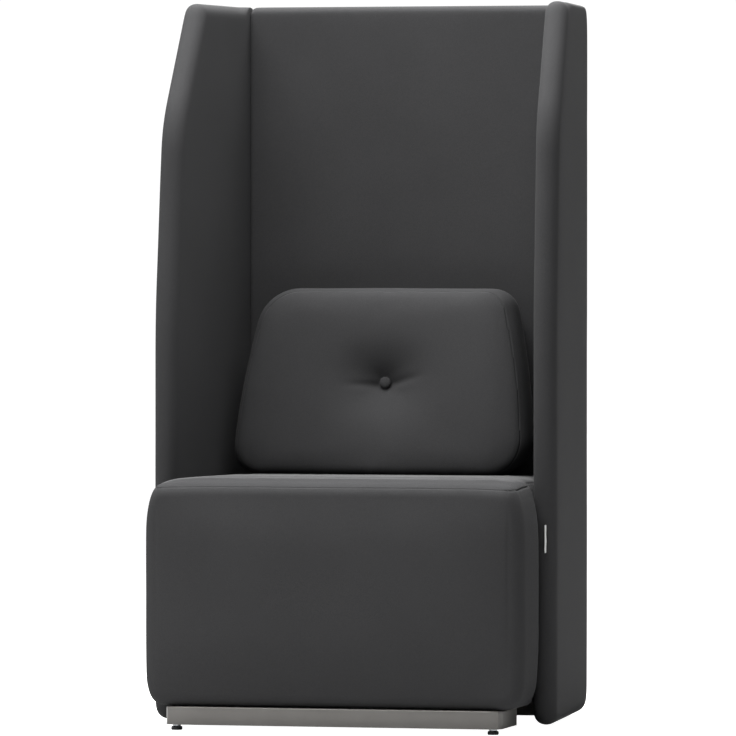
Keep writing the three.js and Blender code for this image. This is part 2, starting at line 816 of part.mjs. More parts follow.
// Height of the crowned seat top between the wings
function seatTopAt(x, y) {
  const half = wingInnerX(y) - panelGap;
  return seatHeight - seatCrown + seatCrown * (1 - (x / half) ** 2);
}

const cushionSideLean = Math.atan((cushionBottomWidth - cushionTopWidth) / 2 / cushionHeight);
const cushionCornerReach = cushionCornerRadius * Math.tan(Math.PI / 4 + cushionSideLean / 2);
const cushionFootX = cushionBottomWidth / 2 - cushionCornerReach;
const cushionHollow = seatTopAt(0, cushionRestY) - seatTopAt(cushionFootX, cushionRestY);

function cushionOutline(inset) {
  const drawIns = [cushionHollow, cushionDrawIn, cushionDrawIn, cushionDrawIn];
  return roundedOutline(cushionCorners(), inset, smallCornerSteps, drawIns);
}

function cushionForm(inset) {
  const centre = new THREE.Vector2(0, cushionHeight / 2);
  const outline = cushionOutline(inset);
  const ringAt = (share, side) => outline.map((p) => {
    const q = centre.clone().lerp(p, share);
    const y = share < 1 ? cushionSurface(share, q.distanceTo(centre), side, inset) : 0;
    return new THREE.Vector3(q.x, y, q.y);
  });
  const underButton = (side) => outline.map((p) => {
    const q = p.clone().sub(centre).setLength(buttonRadius + gap).add(centre);
    return new THREE.Vector3(q.x, cushionSurface(0, 0, side, inset), q.y);
  });
  const rings = [
    underButton(-1),
    ...cushionRingShares.map((share) => ringAt(share, -1)),
    ringAt(1, 1),
    ...cushionRingShares.toReversed().map((share) => ringAt(share, 1)),
    underButton(1),
  ];
  const pole = (side) => new THREE.Vector3(0, cushionSurface(0, 0, side, inset), centre.y);
  return ringSolid(rings, pole(-1), pole(1));
}

function button(side) {
  const dome = [[0, 0], [buttonRadius - buttonFlange, 0], [buttonRadius, buttonFlange],
    [buttonRadius, buttonFlange * 2]];
  for (let k = 1; k < edgeSteps + 1; k++) {
    const angle = (Math.PI / 2) * (k / (edgeSteps + 1));
    const rise = buttonHeight - buttonFlange * 2;
    dome.push([buttonRadius * Math.cos(angle), buttonFlange * 2 + rise * Math.sin(angle)]);
  }
  dome.push([0, buttonHeight]);
  return lathe(dome).rotateX((side * -Math.PI) / 2);
}

// The leaning cushion touches nothing: its place comes from its rearmost and lowest points.
function placeCushion(group, form) {
  group.rotation.x = -cushionLean;
  const points = form.getAttribute('position');
  const leaning = [];
  for (let i = 0; i < points.count; i++) {
    leaning.push(new THREE.Vector3().fromBufferAttribute(points, i).applyEuler(group.rotation));
  }
  const y = backInnerY - gap - Math.max(...leaning.map((p) => p.y));
  const clear = Math.max(...leaning.map((p) => seatTopAt(p.x + cushionOffset, p.y + y) - p.z));
  group.position.set(cushionOffset, y, clear + cushionSeatGap);
}

function addCushion() {
  const group = new THREE.Group();
  const outer = cushionForm(0);
  placeCushion(group, outer);
  chair.add(group);
  const middle = cushionHeight / 2;
  const cordHole = cylinder(tuftCordRadius + gap, -cushionThickness, cushionThickness, boltSides);
  cordHole.rotateX(Math.PI / 2).translate(0, 0, middle);
  const cover = cutBy(outer, [cushionForm(clothThickness), cordHole]);
  addPiece('back_cushion_cover', cover, 'fabric', group);
  addPiece('back_cushion_filling', cutBy(cushionForm(foamInset), [cordHole]), 'filling', group);

  const frontSeat = cushionSurface(0, 0, -1, 0);
  const rearSeat = cushionSurface(0, 0, 1, 0);
  const frontButton = button(-1).translate(0, frontSeat - gap, middle);
  addPiece('front_button', frontButton, 'fabric', group);
  const rearButton = button(1).translate(0, rearSeat + gap, middle);
  addPiece('rear_button', rearButton, 'fabric', group);
  const cord = cylinder(tuftCordRadius, frontSeat, rearSeat, boltSides);
  cord.rotateX(-Math.PI / 2).translate(0, 0, middle);
  addPiece('tuft_cord', cord, 'filling', group);
}

// Base beams: inverted steel trays, each with two foot brackets

function beamOutline(length, inset) {
  const [half, halfDepth] = [length / 2, beamDepth / 2];
  const corners = [
    corner(-half, -halfDepth, beamCornerRadius), corner(half, -halfDepth, beamCornerRadius),
    corner(half, halfDepth, beamCornerRadius), corner(-half, halfDepth, beamCornerRadius),
  ];
  return roundedOutline(corners, inset);
}

function beamForm(length) {
  const ringAt = (inset, z) => beamOutline(length, inset).map((p) => new THREE.Vector3(p.x, p.y, z));
  const rings = [ringAt(0, beamBottom), ringAt(0, beamTop - beamTopRadius), ringAt(beamTopRadius, beamTop)];
  return ringSolid(rings, middleOf(rings[0]), middleOf(rings.at(-1)));
}

function plateFrom(outline, lowZ, highZ) {
  return prism(outline.map((p) => [p.x, p.y]), lowZ, highZ);
}

function addBeam(label, length, y, footSide) {
  const group = new THREE.Group();
  group.position.set(0, y, 0);
  chair.add(group);
  const hollow = plateFrom(beamOutline(length, beamWall), beamBottom - overrun, beamTop - beamWall);
  const bores = baseBoltPlaces.map((x) => cylinder(boltRadius + boltGap, beamBottom, beamTop + overrun)
    .translate(x, 0, 0));
  addPiece(`${label}_base_beam`, cutBy(beamForm(length), [hollow, ...bores]), 'paintedSteel', group);
  const footY = footSide * (beamDepth / 2 - footEdgeInset);
  const bracketLow = beamBottom + 2 * gap;
  const bracketHigh = bracketLow + bracketThickness;

  for (const [side, place] of [[-1, 'left'], [1, 'right']]) {
    const footX = side * (length / 2 - footEndInset);
    const reach = [footX - side * bracketInnerReach, footX + side * footEndInset].sort((a, b) => a - b);
    const inside = plateFrom(beamOutline(length, beamWall + gap), bracketLow, bracketHigh);
    const stretch = box(...reach, -beamDepth, beamDepth, 0, beamTop);
    const nut = hexagon(nutWidth, bracketHigh - gap, bracketHigh + nutHeight).translate(footX, footY, 0);
    const bore = cylinder(studRadius + boltGap, 0, beamTop).translate(footX, footY, 0);
    const bracket = cutBy(joined(overlapOf(inside, stretch), nut), [bore]);
    addPiece(`foot_bracket_${label}_${place}`, bracket, 'steel', group);
    addFoot(`${label}_${place}`, footX, footY, bracketLow, group);
  }

  for (const [i, x] of baseBoltPlaces.entries()) {
    const headZ = beamTop - beamWall - gap;
    const bolt = boltAlongX(0, boardBottom + panelBoardThickness - headZ - gap, 0, 0);
    bolt.rotateY(-Math.PI / 2).translate(x, 0, headZ);
    addPiece(`base_bolt_${label}_${i + 1}`, bolt, 'steel', group);
  }
}

function addFoot(label, x, y, bracketLow, parent) {
  const group = new THREE.Group();
  group.position.set(x, y, 0);
  parent.add(group);
  const [neck, cavity] = [studRadius + boltGap, studHeadRadius + gap];
  const [cavityLow, cavityHigh] = [studHeadBottom - gap, studHeadBottom + studHeadHeight + gap];
  const chamfer = (footPadRadius - neck) / 6;
  const pad = lathe([
    [0, 0], [footPadRadius - chamfer, 0], [footPadRadius, chamfer], [footPadRadius, footPadHeight - chamfer],
    [footPadRadius - chamfer, footPadHeight], [neck, footPadHeight], [neck, cavityHigh],
    [cavity, cavityHigh], [cavity, cavityLow], [0, cavityLow],
  ]);
  addPiece(`foot_pad_${label}`, pad, 'glide', group);
  const collarLow = footPadHeight + gap;
  const spindle = lathe([
    [0, studHeadBottom], [studHeadRadius, studHeadBottom],
    [studHeadRadius, studHeadBottom + studHeadHeight],
    [studRadius, studHeadBottom + studHeadHeight], [studRadius, studTop - boltGap],
    [studRadius - boltGap, studTop], [0, studTop],
  ]);
  const collar = hexagon(collarWidth, collarLow, Math.min(collarLow + collarHeight, bracketLow - gap));
  addPiece(`foot_stud_${label}`, joined(spindle, collar), 'steel', group);
}

function addTab() {
  const group = new THREE.Group();
  wingMatrix(1).decompose(group.position, group.quaternion, group.scale);
  chair.add(group);
  // The tab's root follows the first facet of the wing's bullnose.
  const beyondFlat = tabOffset - (wingThickness - wingEdgeRadius);
  const root = beyondFlat * Math.tan(Math.PI / 4 / edgeSteps) - gap;
  const shape = new THREE.Shape();
  shape.moveTo(root, tabBottom);
  shape.lineTo(root, tabBottom + tabHeight);
  shape.lineTo(-tabReach + tabThickness, tabBottom + tabHeight);
  shape.lineTo(-tabReach, tabBottom + tabHeight - tabThickness);
  shape.lineTo(-tabReach, tabBottom + tabThickness);
  shape.lineTo(-tabReach + tabThickness, tabBottom);
  const tab = boardFromOutline(shape.getPoints(), tabOffset, tabOffset + tabThickness);
  addPiece('side_tab', tab, 'tab', group);
}

addWing(-1, 'left');
addWing(1, 'right');
addBack();
addSeat();
addSprings();
addCushion();
addBeam('front', beamLength, frontBeamY, -1);
const rearBeamLength = 2 * (wingInnerX(rearBeamY + beamDepth / 2) - rearBeamSideGap);
addBeam('rear', rearBeamLength, rearBeamY, 1);
addTab();

export default chair;
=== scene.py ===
import bisect
import json
import math
import bmesh
import bpy
from mathutils import Matrix, Vector, noise
from mathutils.bvhtree import BVHTree


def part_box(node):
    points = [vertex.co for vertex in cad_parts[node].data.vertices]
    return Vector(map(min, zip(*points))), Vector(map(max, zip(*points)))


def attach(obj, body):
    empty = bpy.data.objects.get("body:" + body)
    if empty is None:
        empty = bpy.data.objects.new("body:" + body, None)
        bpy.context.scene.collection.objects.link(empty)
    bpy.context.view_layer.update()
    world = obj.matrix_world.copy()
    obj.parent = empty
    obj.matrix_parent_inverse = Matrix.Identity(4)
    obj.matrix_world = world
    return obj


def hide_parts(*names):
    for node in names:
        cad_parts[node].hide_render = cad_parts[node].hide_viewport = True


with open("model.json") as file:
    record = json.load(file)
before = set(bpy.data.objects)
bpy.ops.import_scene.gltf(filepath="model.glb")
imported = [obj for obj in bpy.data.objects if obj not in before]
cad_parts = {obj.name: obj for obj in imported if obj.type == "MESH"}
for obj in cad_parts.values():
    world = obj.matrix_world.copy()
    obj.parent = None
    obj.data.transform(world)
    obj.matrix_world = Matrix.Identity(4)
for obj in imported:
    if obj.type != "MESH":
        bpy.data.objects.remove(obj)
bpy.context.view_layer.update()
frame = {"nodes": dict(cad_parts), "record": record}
print("frame loaded,", len(frame["nodes"]), "nodes")

# Sizes that several pieces share, in metres, as the CAD has them
chair = {
    "height": 1.325,
    "frontY": -0.3175,
    "rearY": 0.3175,
    "floorGap": 0.0075,
    "wingFrontY": -0.1475,
    "wingInnerHalf": 0.335,
    "splay": math.radians(4.9),
    "backFaceY": 0.2625,
}


def mixed(a, b, share):
    return a + (b - a) * share


def clamped(value, low=0.0, high=1.0):
    return min(max(value, low), high)


# Starts and ends slowly between 0 and 1
def eased(share):
    return share * share * (3 - 2 * share)


def wingInnerX(y):
    return chair["wingInnerHalf"] - (y - chair["wingFrontY"]) * math.tan(chair["splay"])


def wingPlace(side):
    turned = Matrix.Translation((chair["wingInnerHalf"], chair["wingFrontY"], 0))
    turned = turned @ Matrix.Rotation(chair["splay"], 4, "Z")
    return Matrix.Diagonal((side, 1, 1, 1)) @ turned


# Camera, from the photograph's own perspective: far away, a little to the chair's right
photoView = {
    "distance": 13.957,
    "turn": 0.2428,
    "tilt": -0.0174,
    "sideStep": -0.0063,
    "eyeHeight": 0.8948,
    "lens": 371.7,
    "sensor": 36,
    "farEnd": 60,
}


def placeCamera():
    turn, tilt = photoView["turn"], photoView["tilt"]
    ahead = Vector((-math.sin(turn) * math.cos(tilt), math.cos(turn) * math.cos(tilt), math.sin(tilt)))
    away = Vector((math.sin(turn), -math.cos(turn), 0)) * photoView["distance"]
    across = Vector((math.cos(turn), math.sin(turn), 0)) * photoView["sideStep"]
    camera = bpy.data.objects.new("photoCamera", bpy.data.cameras.new("photoCamera"))
    camera.data.lens = photoView["lens"]
    camera.data.sensor_width = photoView["sensor"]
    camera.data.clip_end = photoView["farEnd"]
    camera.location = away + across + Vector((0, 0, photoView["eyeHeight"]))
    camera.rotation_euler = ahead.to_track_quat("-Z", "Y").to_euler()
    bpy.context.collection.objects.link(camera)
    bpy.context.scene.camera = camera


placeCamera()
print("camera placed")


# Shader node groups
def newGroup(name, inputs, outputs):
    group = bpy.data.node_groups.new(name, "ShaderNodeTree")
    for socket, kind, value in inputs:
        made = group.interface.new_socket(socket, in_out="INPUT", socket_type=kind)
        made.default_value = value
    for socket, kind in outputs:
        group.interface.new_socket(socket, in_out="OUTPUT", socket_type=kind)
    entry = group.nodes.new("NodeGroupInput")
    leave = group.nodes.new("NodeGroupOutput")
    return group, entry, leave


def addNode(tree, kind, **values):
    node = tree.nodes.new(kind)
    for key, value in values.items():
        setattr(node, key, value)
    return node


def join(tree, start, end):
    tree.links.new(start, end)


def mathNode(tree, operation, first, second=None, third=None, clamp=False):
    node = addNode(tree, "ShaderNodeMath", operation=operation, use_clamp=clamp)
    for socket, value in zip(node.inputs, (first, second, third)):
        if value is None:
            continue
        if isinstance(value, (int, float)):
            socket.default_value = value
        else:
            join(tree, value, socket)
    return node.outputs[0]


# In a colour Mix node, inputs 0, 6 and 7 are the share and the two colours, and output 2 is the result
def mixColours(tree, share, dark, light):
    node = addNode(tree, "ShaderNodeMix", data_type="RGBA")
    for socket, value in ((node.inputs[0], share), (node.inputs[6], dark), (node.inputs[7], light)):
        if isinstance(value, (tuple, int, float)):
            socket.default_value = value
        else:
            join(tree, value, socket)
    return node.outputs[2]


def objectPlace(tree, stretch=(1, 1, 1)):
    where = addNode(tree, "ShaderNodeTexCoord")
    scaled = addNode(tree, "ShaderNodeVectorMath", operation="MULTIPLY")
    scaled.inputs[1].default_value = stretch
    join(tree, where.outputs["Object"], scaled.inputs[0])
    return scaled.outputs[0]


def cloud(tree, place, scale, detail=2.0, roughness=0.5):
    node = addNode(tree, "ShaderNodeTexNoise")
    join(tree, place, node.inputs["Vector"])
    if isinstance(scale, (int, float)):
        node.inputs["Scale"].default_value = scale
    else:
        join(tree, scale, node.inputs["Scale"])
    node.inputs["Detail"].default_value = detail
    node.inputs["Roughness"].default_value = roughness
    return node.outputs["Fac"]


def spread(tree, value, low, high, newLow=0.0, newHigh=1.0):
    node = addNode(tree, "ShaderNodeMapRange")
    join(tree, value, node.inputs["Value"])
    for socket, number in zip(("From Min", "From Max", "To Min", "To Max"), (low, high, newLow, newHigh)):
        node.inputs[socket].default_value = number
    return node.outputs[0]


weaveLook = {
    "threadHeight": 0.16,
    "fibreScale": 900.0,
    "fibreStretch": (1, 1, 1.7),
    "fibreRange": (0.3, 0.7),
}


# Threads that cross in all three directions, so that every face of a pad shows a weave
def makeWeaveGroup():
    group, entry, leave = newGroup("threadWeave",
        [("Thread pitch", "NodeSocketFloat", 0.0016), ("Fuzz", "NodeSocketFloat", 0.5)],
        [("Height", "NodeSocketFloat"), ("Fibre", "NodeSocketFloat")])
    place = objectPlace(group)
    split = addNode(group, "ShaderNodeSeparateXYZ")
    join(group, place, split.inputs[0])
    turns = mathNode(group, "DIVIDE", 2 * math.pi, entry.outputs["Thread pitch"])
    waves = [mathNode(group, "SINE", mathNode(group, "MULTIPLY", axis, turns)) for axis in split.outputs]
    first = mathNode(group, "MULTIPLY", waves[0], waves[2])
    second = mathNode(group, "MULTIPLY", waves[1], waves[2])
    third = mathNode(group, "MULTIPLY", waves[0], waves[1])
    weave = mathNode(group, "ADD", mathNode(group, "ADD", first, second), third)
    fibre = cloud(group, objectPlace(group, weaveLook["fibreStretch"]), weaveLook["fibreScale"], 3.0, 0.6)
    fuzzy = mathNode(group, "MULTIPLY", fibre, entry.outputs["Fuzz"])
    raised = mathNode(group, "MULTIPLY_ADD", weave, weaveLook["threadHeight"], fuzzy)
    join(group, raised, leave.inputs["Height"])
    join(group, spread(group, fibre, *weaveLook["fibreRange"]), leave.inputs["Fibre"])
    return group


# Slow uneven patches, as every dyed, painted or moulded surface has
def makePatchGroup():
    group, entry, leave = newGroup("slowPatches",
        [("Patch scale", "NodeSocketFloat", 6.0)], [("Mask", "NodeSocketFloat")])
    patches = cloud(group, objectPlace(group), entry.outputs["Patch scale"], 4.0, 0.55)
    join(group, spread(group, patches, 0.3, 0.7), leave.inputs["Mask"])
    return group


# Bright rubbed edges: where a rounded normal leaves the true one
def makeEdgeGroup():
    group, entry, leave = newGroup("rubbedEdges",
        [("Reach", "NodeSocketFloat", 0.001), ("Amount", "NodeSocketFloat", 0.5)],
        [("Mask", "NodeSocketFloat")])
    rounded = addNode(group, "ShaderNodeBevel", samples=4)
    join(group, entry.outputs["Reach"], rounded.inputs["Radius"])
    true = addNode(group, "ShaderNodeNewGeometry")
    compare = addNode(group, "ShaderNodeVectorMath", operation="DOT_PRODUCT")
    join(group, rounded.outputs[0], compare.inputs[0])
    join(group, true.outputs["Normal"], compare.inputs[1])
    away = mathNode(group, "SUBTRACT", 1.0, compare.outputs["Value"])
    broken = cloud(group, objectPlace(group), 260.0, 3.0, 0.7)
    edge = mathNode(group, "MULTIPLY", mathNode(group, "MULTIPLY", away, 4.0, clamp=True), broken)
    join(group, mathNode(group, "MULTIPLY", edge, entry.outputs["Amount"], clamp=True), leave.inputs["Mask"])
    return group


# Dust lies on faces that look up
def makeDustGroup():
    group, entry, leave = newGroup("settledDust",
        [("Amount", "NodeSocketFloat", 0.3)], [("Mask", "NodeSocketFloat")])
    facing = addNode(group, "ShaderNodeNewGeometry")
    split = addNode(group, "ShaderNodeSeparateXYZ")
    join(group, facing.outputs["Normal"], split.inputs[0])
    upward = mathNode(group, "POWER", mathNode(group, "MAXIMUM", split.outputs[2], 0.0), 3.0)
    specks = spread(group, cloud(group, objectPlace(group), 420.0, 4.0, 0.7), 0.35, 0.75)
    lying = mathNode(group, "MULTIPLY", upward, specks)
    join(group, mathNode(group, "MULTIPLY", lying, entry.outputs["Amount"], clamp=True), leave.inputs["Mask"])
    return group


weaveGroup = makeWeaveGroup()
patchGroup = makePatchGroup()
edgeGroup = makeEdgeGroup()
dustGroup = makeDustGroup()


def useGroup(tree, group, **values):
    node = addNode(tree, "ShaderNodeGroup")
    node.node_tree = group
    for key, value in values.items():
        node.inputs[key.replace("_", " ")].default_value = value
    return node


def newMaterial(name, **constants):
    material = bpy.data.materials.new(name)
    material.use_nodes = True
    tree = material.node_tree
    shader = tree.nodes["Principled BSDF"]
    for key, value in constants.items():
        shader.inputs[key.replace("_", " ")].default_value = value
    return material, tree, shader


def bumpInto(tree, shader, height, strength, distance):
    bump = addNode(tree, "ShaderNodeBump")
    bump.inputs["Strength"].default_value = strength
    bump.inputs["Distance"].default_value = distance
    join(tree, height, bump.inputs["Height"])
    join(tree, bump.outputs[0], shader.inputs["Normal"])


def setRoughness(tree, shader, mask, smooth, rough):
    join(tree, spread(tree, mask, 0.0, 1.0, smooth, rough), shader.inputs["Roughness"])


# Materials, each with what a user would change in it
clothLook = {
    "dark": (0.0225, 0.0225, 0.0232, 1),
    "light": (0.043, 0.043, 0.0442, 1),
    # painted sheen: the lighter colour that the cloth takes where it is seen edge-on
    "nap": (0.085, 0.085, 0.086, 1),
    "patchDark": (0.92, 0.92, 0.92, 1),
    "threadPitch": 0.0017,
    "fuzz": 0.9,
    "patchScale": 7.0,
    "sheen": 0.03,
    "sheenRoughness": 0.15,
    # painted sheen: the facing range over which it comes in, and its full share
    "napFrom": 0.90,
    "napTo": 0.98,
    "napGain": 1.0,
    "roughness": (0.82, 0.98),
}


def makeCharcoalCloth():
    material, tree, shader = newMaterial("charcoalCloth",
        Sheen_Weight=clothLook["sheen"], Sheen_Roughness=clothLook["sheenRoughness"],
        Sheen_Tint=(1, 1, 1, 1), Specular_IOR_Level=0.12)
    weave = useGroup(tree, weaveGroup, Thread_pitch=clothLook["threadPitch"], Fuzz=clothLook["fuzz"])
    patches = useGroup(tree, patchGroup, Patch_scale=clothLook["patchScale"])
    fibreColour = mixColours(tree, weave.outputs["Fibre"], clothLook["dark"], clothLook["light"])
    shade = mixColours(tree, patches.outputs["Mask"], clothLook["patchDark"], (1.0, 1.0, 1.0, 1))
    tint = addNode(tree, "ShaderNodeMix", data_type="RGBA", blend_type="MULTIPLY")
    tint.inputs[0].default_value = 1.0
    join(tree, fibreColour, tint.inputs[6])
    join(tree, shade, tint.inputs[7])
    # Painted sheen: where the cloth is seen almost edge-on, its base colour is mixed towards a lighter colour
    along = addNode(tree, "ShaderNodeLayerWeight")
    nap = spread(tree, along.outputs["Facing"], clothLook["napFrom"], clothLook["napTo"],
                 0.0, clothLook["napGain"])
    join(tree, mixColours(tree, nap, tint.outputs[2], clothLook["nap"]), shader.inputs["Base Color"])
    setRoughness(tree, shader, weave.outputs["Fibre"], *clothLook["roughness"])
    bumpInto(tree, shader, weave.outputs["Height"], 0.35, 0.0006)
    return material


paintLook = {
    "dark": (0.124, 0.118, 0.110, 1),
    "light": (0.139, 0.133, 0.125, 1),
    "rubbed": (0.42, 0.41, 0.40, 1),
    "dust": (0.40, 0.38, 0.35, 1),
    "specular": 0.45,
    "patchScale": 18.0,
    "edges": {"Reach": 0.0009, "Amount": 0.5},
    "dustAmount": 0.35,
    "roughness": (0.34, 0.44),
    "metalShare": (0.05, 0.6),
    "grainScale": 1500.0,
    "bump": (0.08, 0.0003),
}
plasticLook = {
    "dark": (0.010, 0.010, 0.011, 1),
    "light": (0.019, 0.019, 0.020, 1),
    "rubbed": (0.09, 0.09, 0.09, 1),
    "dust": (0.16, 0.15, 0.14, 1),
    "specular": 0.4,
    "patchScale": 60.0,
    "edges": {"Reach": 0.0008, "Amount": 0.7},
    "dustAmount": 0.4,
    "roughness": (0.42, 0.58),
    "grainScale": 2600.0,
    "bump": (0.25, 0.0002),
}


# A coat in two shades with rubbed edges and dust; paint that is rubbed through shows some metal
def makeCoat(name, look):
    material, tree, shader = newMaterial(name, Specular_IOR_Level=look["specular"])
    patches = useGroup(tree, patchGroup, Patch_scale=look["patchScale"])
    edges = useGroup(tree, edgeGroup, **look["edges"])
    dust = useGroup(tree, dustGroup, Amount=look["dustAmount"])
    base = mixColours(tree, patches.outputs["Mask"], look["dark"], look["light"])
    worn = mixColours(tree, edges.outputs["Mask"], base, look["rubbed"])
    dusty = mixColours(tree, dust.outputs["Mask"], worn, look["dust"])
    join(tree, dusty, shader.inputs["Base Color"])
    setRoughness(tree, shader, patches.outputs["Mask"], *look["roughness"])
    if "metalShare" in look:
        metal = spread(tree, edges.outputs["Mask"], 0.0, 1.0, *look["metalShare"])
        join(tree, metal, shader.inputs["Metallic"])
    bumpInto(tree, shader, cloud(tree, objectPlace(tree), look["grainScale"], 2.0), *look["bump"])
    return material


steelLook = {
    "rubbed": (0.8, 0.8, 0.8, 1),
    "patchScale": 90.0,
    "edges": {"Reach": 0.0004, "Amount": 0.6},
    "grainStretch": (1, 1, 3),
    "metalShare": (0.9, 1.0),
    "smoother": 0.07,
    "rougher": 0.09,
    "bump": (0.12, 0.0002),
}


def makeSteel(name, dark, light, rough, grainScale):
    material, tree, shader = newMaterial(name)
    patches = useGroup(tree, patchGroup, Patch_scale=steelLook["patchScale"])
    edges = useGroup(tree, edgeGroup, **steelLook["edges"])
    grain = cloud(tree, objectPlace(tree, steelLook["grainStretch"]), grainScale, 4.0, 0.65)
    base = mixColours(tree, patches.outputs["Mask"], dark, light)
    worn = mixColours(tree, edges.outputs["Mask"], base, steelLook["rubbed"])
    join(tree, worn, shader.inputs["Base Color"])
    roughness = (rough - steelLook["smoother"], rough + steelLook["rougher"])
    join(tree, spread(tree, grain, 0.3, 0.7, *steelLook["metalShare"]), shader.inputs["Metallic"])
    join(tree, spread(tree, grain, 0.3, 0.7, *roughness), shader.inputs["Roughness"])
    bumpInto(tree, shader, grain, *steelLook["bump"])
    return material


liningLook = {
    "dark": (0.006, 0.006, 0.0065, 1),
    "light": (0.021, 0.021, 0.022, 1),
    "dotPitch": 0.0032,
    "fibreScale": 700.0,
    "roughness": (0.75, 0.95),
}


# Bonded fibres with a regular pressed dot pattern
def makeBlackLining():
    material, tree, shader = newMaterial("blackLining", Sheen_Weight=0.2, Sheen_Roughness=0.5,
                                         Specular_IOR_Level=0.2)
    weave = useGroup(tree, weaveGroup, Thread_pitch=liningLook["dotPitch"], Fuzz=1.0)
    fibres = cloud(tree, objectPlace(tree, (1, 2.5, 1)), liningLook["fibreScale"], 4.0, 0.7)
    colour = mixColours(tree, spread(tree, fibres, 0.3, 0.7), liningLook["dark"], liningLook["light"])
    join(tree, colour, shader.inputs["Base Color"])
    join(tree, spread(tree, fibres, 0.3, 0.7, *liningLook["roughness"]), shader.inputs["Roughness"])
    bumpInto(tree, shader, weave.outputs["Height"], 0.5, 0.0004)
    return material


plywoodLook = {
    "dark": (0.40, 0.235, 0.11, 1),
    "light": (0.62, 0.42, 0.23, 1),
    "stain": (0.50, 0.33, 0.17, 1),
    "stainShare": 0.35,
    "sawn": (0.28, 0.17, 0.09, 1),
    "roughness": (0.55, 0.75),
}


def makePlywood():
    material, tree, shader = newMaterial("plywood", Specular_IOR_Level=0.3)
    grain = cloud(tree, objectPlace(tree, (14, 14, 1.4)), 6.0, 6.0, 0.65)
    pores = cloud(tree, objectPlace(tree, (60, 60, 3)), 14.0, 3.0, 0.6)
    patches = useGroup(tree, patchGroup, Patch_scale=9.0)
    edges = useGroup(tree, edgeGroup, Reach=0.0012, Amount=0.6)
    wood = mixColours(tree, spread(tree, grain, 0.32, 0.68), plywoodLook["dark"], plywoodLook["light"])
    stained = spread(tree, patches.outputs["Mask"], 0.0, 1.0, 0.0, plywoodLook["stainShare"])
    shaded = mixColours(tree, stained, wood, plywoodLook["stain"])
    sawn = mixColours(tree, edges.outputs["Mask"], shaded, plywoodLook["sawn"])
    join(tree, sawn, shader.inputs["Base Color"])
    join(tree, spread(tree, pores, 0.3, 0.7, *plywoodLook["roughness"]), shader.inputs["Roughness"])
    bumpInto(tree, shader, pores, 0.2, 0.0004)
    return material


def makeFoam(name, dark, light, cellScale):
    material, tree, shader = newMaterial(name, Sheen_Weight=0.1, Specular_IOR_Level=0.15)
    cells = addNode(tree, "ShaderNodeTexVoronoi")
    cells.inputs["Scale"].default_value = cellScale
    join(tree, objectPlace(tree), cells.inputs["Vector"])
    patches = useGroup(tree, patchGroup, Patch_scale=10.0)
    join(tree, mixColours(tree, patches.outputs["Mask"], dark, light), shader.inputs["Base Color"])
    setRoughness(tree, shader, patches.outputs["Mask"], 0.85, 0.98)
    bumpInto(tree, shader, cells.outputs["Distance"], 0.5, 0.0007)
    return material


tapeLook = {
    "dark": (0.60, 0.60, 0.59, 1),
    "light": (0.78, 0.78, 0.77, 1),
    "soiled": (0.5, 0.49, 0.47, 1),
    "soiledShare": 0.2,
    "threadPitch": 0.0007,
    "roughness": (0.7, 0.85),
}


def makePaleTape():
    material, tree, shader = newMaterial("paleTape", Sheen_Weight=0.15, Sheen_Roughness=0.4,
                                         Specular_IOR_Level=0.25)
    weave = useGroup(tree, weaveGroup, Thread_pitch=tapeLook["threadPitch"], Fuzz=0.4)
    patches = useGroup(tree, patchGroup, Patch_scale=120.0)
    fibre = mixColours(tree, weave.outputs["Fibre"], tapeLook["dark"], tapeLook["light"])
    soiled = spread(tree, patches.outputs["Mask"], 0.0, 1.0, 0.0, tapeLook["soiledShare"])
    join(tree, mixColours(tree, soiled, fibre, tapeLook["soiled"]), shader.inputs["Base Color"])
    setRoughness(tree, shader, weave.outputs["Fibre"], *tapeLook["roughness"])
    bumpInto(tree, shader, weave.outputs["Height"], 0.3, 0.0003)
    return material


finishes = {
    "charcoal_cloth": makeCharcoalCloth(),
    "cream_foam": makeFoam("creamFoam", (0.74, 0.66, 0.48, 1), (0.84, 0.77, 0.60, 1), 900.0),
    "white_filling": makeFoam("whiteFilling", (0.78, 0.78, 0.75, 1), (0.88, 0.88, 0.86, 1), 500.0),
    "plywood": makePlywood(),
    "zinc_steel": makeSteel("zincSteel", (0.50, 0.52, 0.55, 1), (0.64, 0.65, 0.66, 1), 0.36, 300.0),
    "spring_steel": makeSteel("springSteel", (0.13, 0.135, 0.15, 1), (0.22, 0.225, 0.235, 1), 0.42, 500.0),
    "warm_grey_paint": makeCoat("warmGreyPaint", paintLook),
    "black_plastic": makeCoat("blackPlastic", plasticLook),
    "black_lining": makeBlackLining(),
    "pale_tape": makePaleTape(),
}
print("materials made:", len(finishes))


# Meshes
def newPiece(name, points, faces, finish):
    mesh = bpy.data.meshes.new(name)
    mesh.from_pydata([tuple(p) for p in points], [], faces)
    piece = bpy.data.objects.new(name, mesh)
    bpy.context.collection.objects.link(piece)
    tidyNormals(piece)
    mesh.materials.append(finishes[finish])
    return piece


def smoothed(piece):
    piece.data.polygons.foreach_set("use_smooth", [True] * len(piece.data.polygons))


def tidyNormals(piece):
    work = bmesh.new()
    work.from_mesh(piece.data)
    bmesh.ops.recalc_face_normals(work, faces=work.faces)
    work.to_mesh(piece.data)
    work.free()
    smoothed(piece)


def moved(points, matrix):
    return [matrix @ Vector(p) for p in points]


# The same line with its points at even distances
def resampled(line, count):
    reach = [0.0]
    for a, b in zip(line, line[1:]):
        reach.append(reach[-1] + (b - a).length)
    points, at = [], 0
    for k in range(count + 1):
        target = reach[-1] * k / count
        while at < len(line) - 2 and reach[at + 1] < target:
            at += 1
        span = reach[at + 1] - reach[at]
        share = 0.0 if span < 1e-12 else clamped((target - reach[at]) / span)
        points.append(line[at].lerp(line[at + 1], share))
    return points


# Corners of a rectangle, each with its radius
def rectangle(half, low, high, radius):
    return [(-half, low, radius), (half, low, radius), (half, high, radius), (-half, high, radius)]


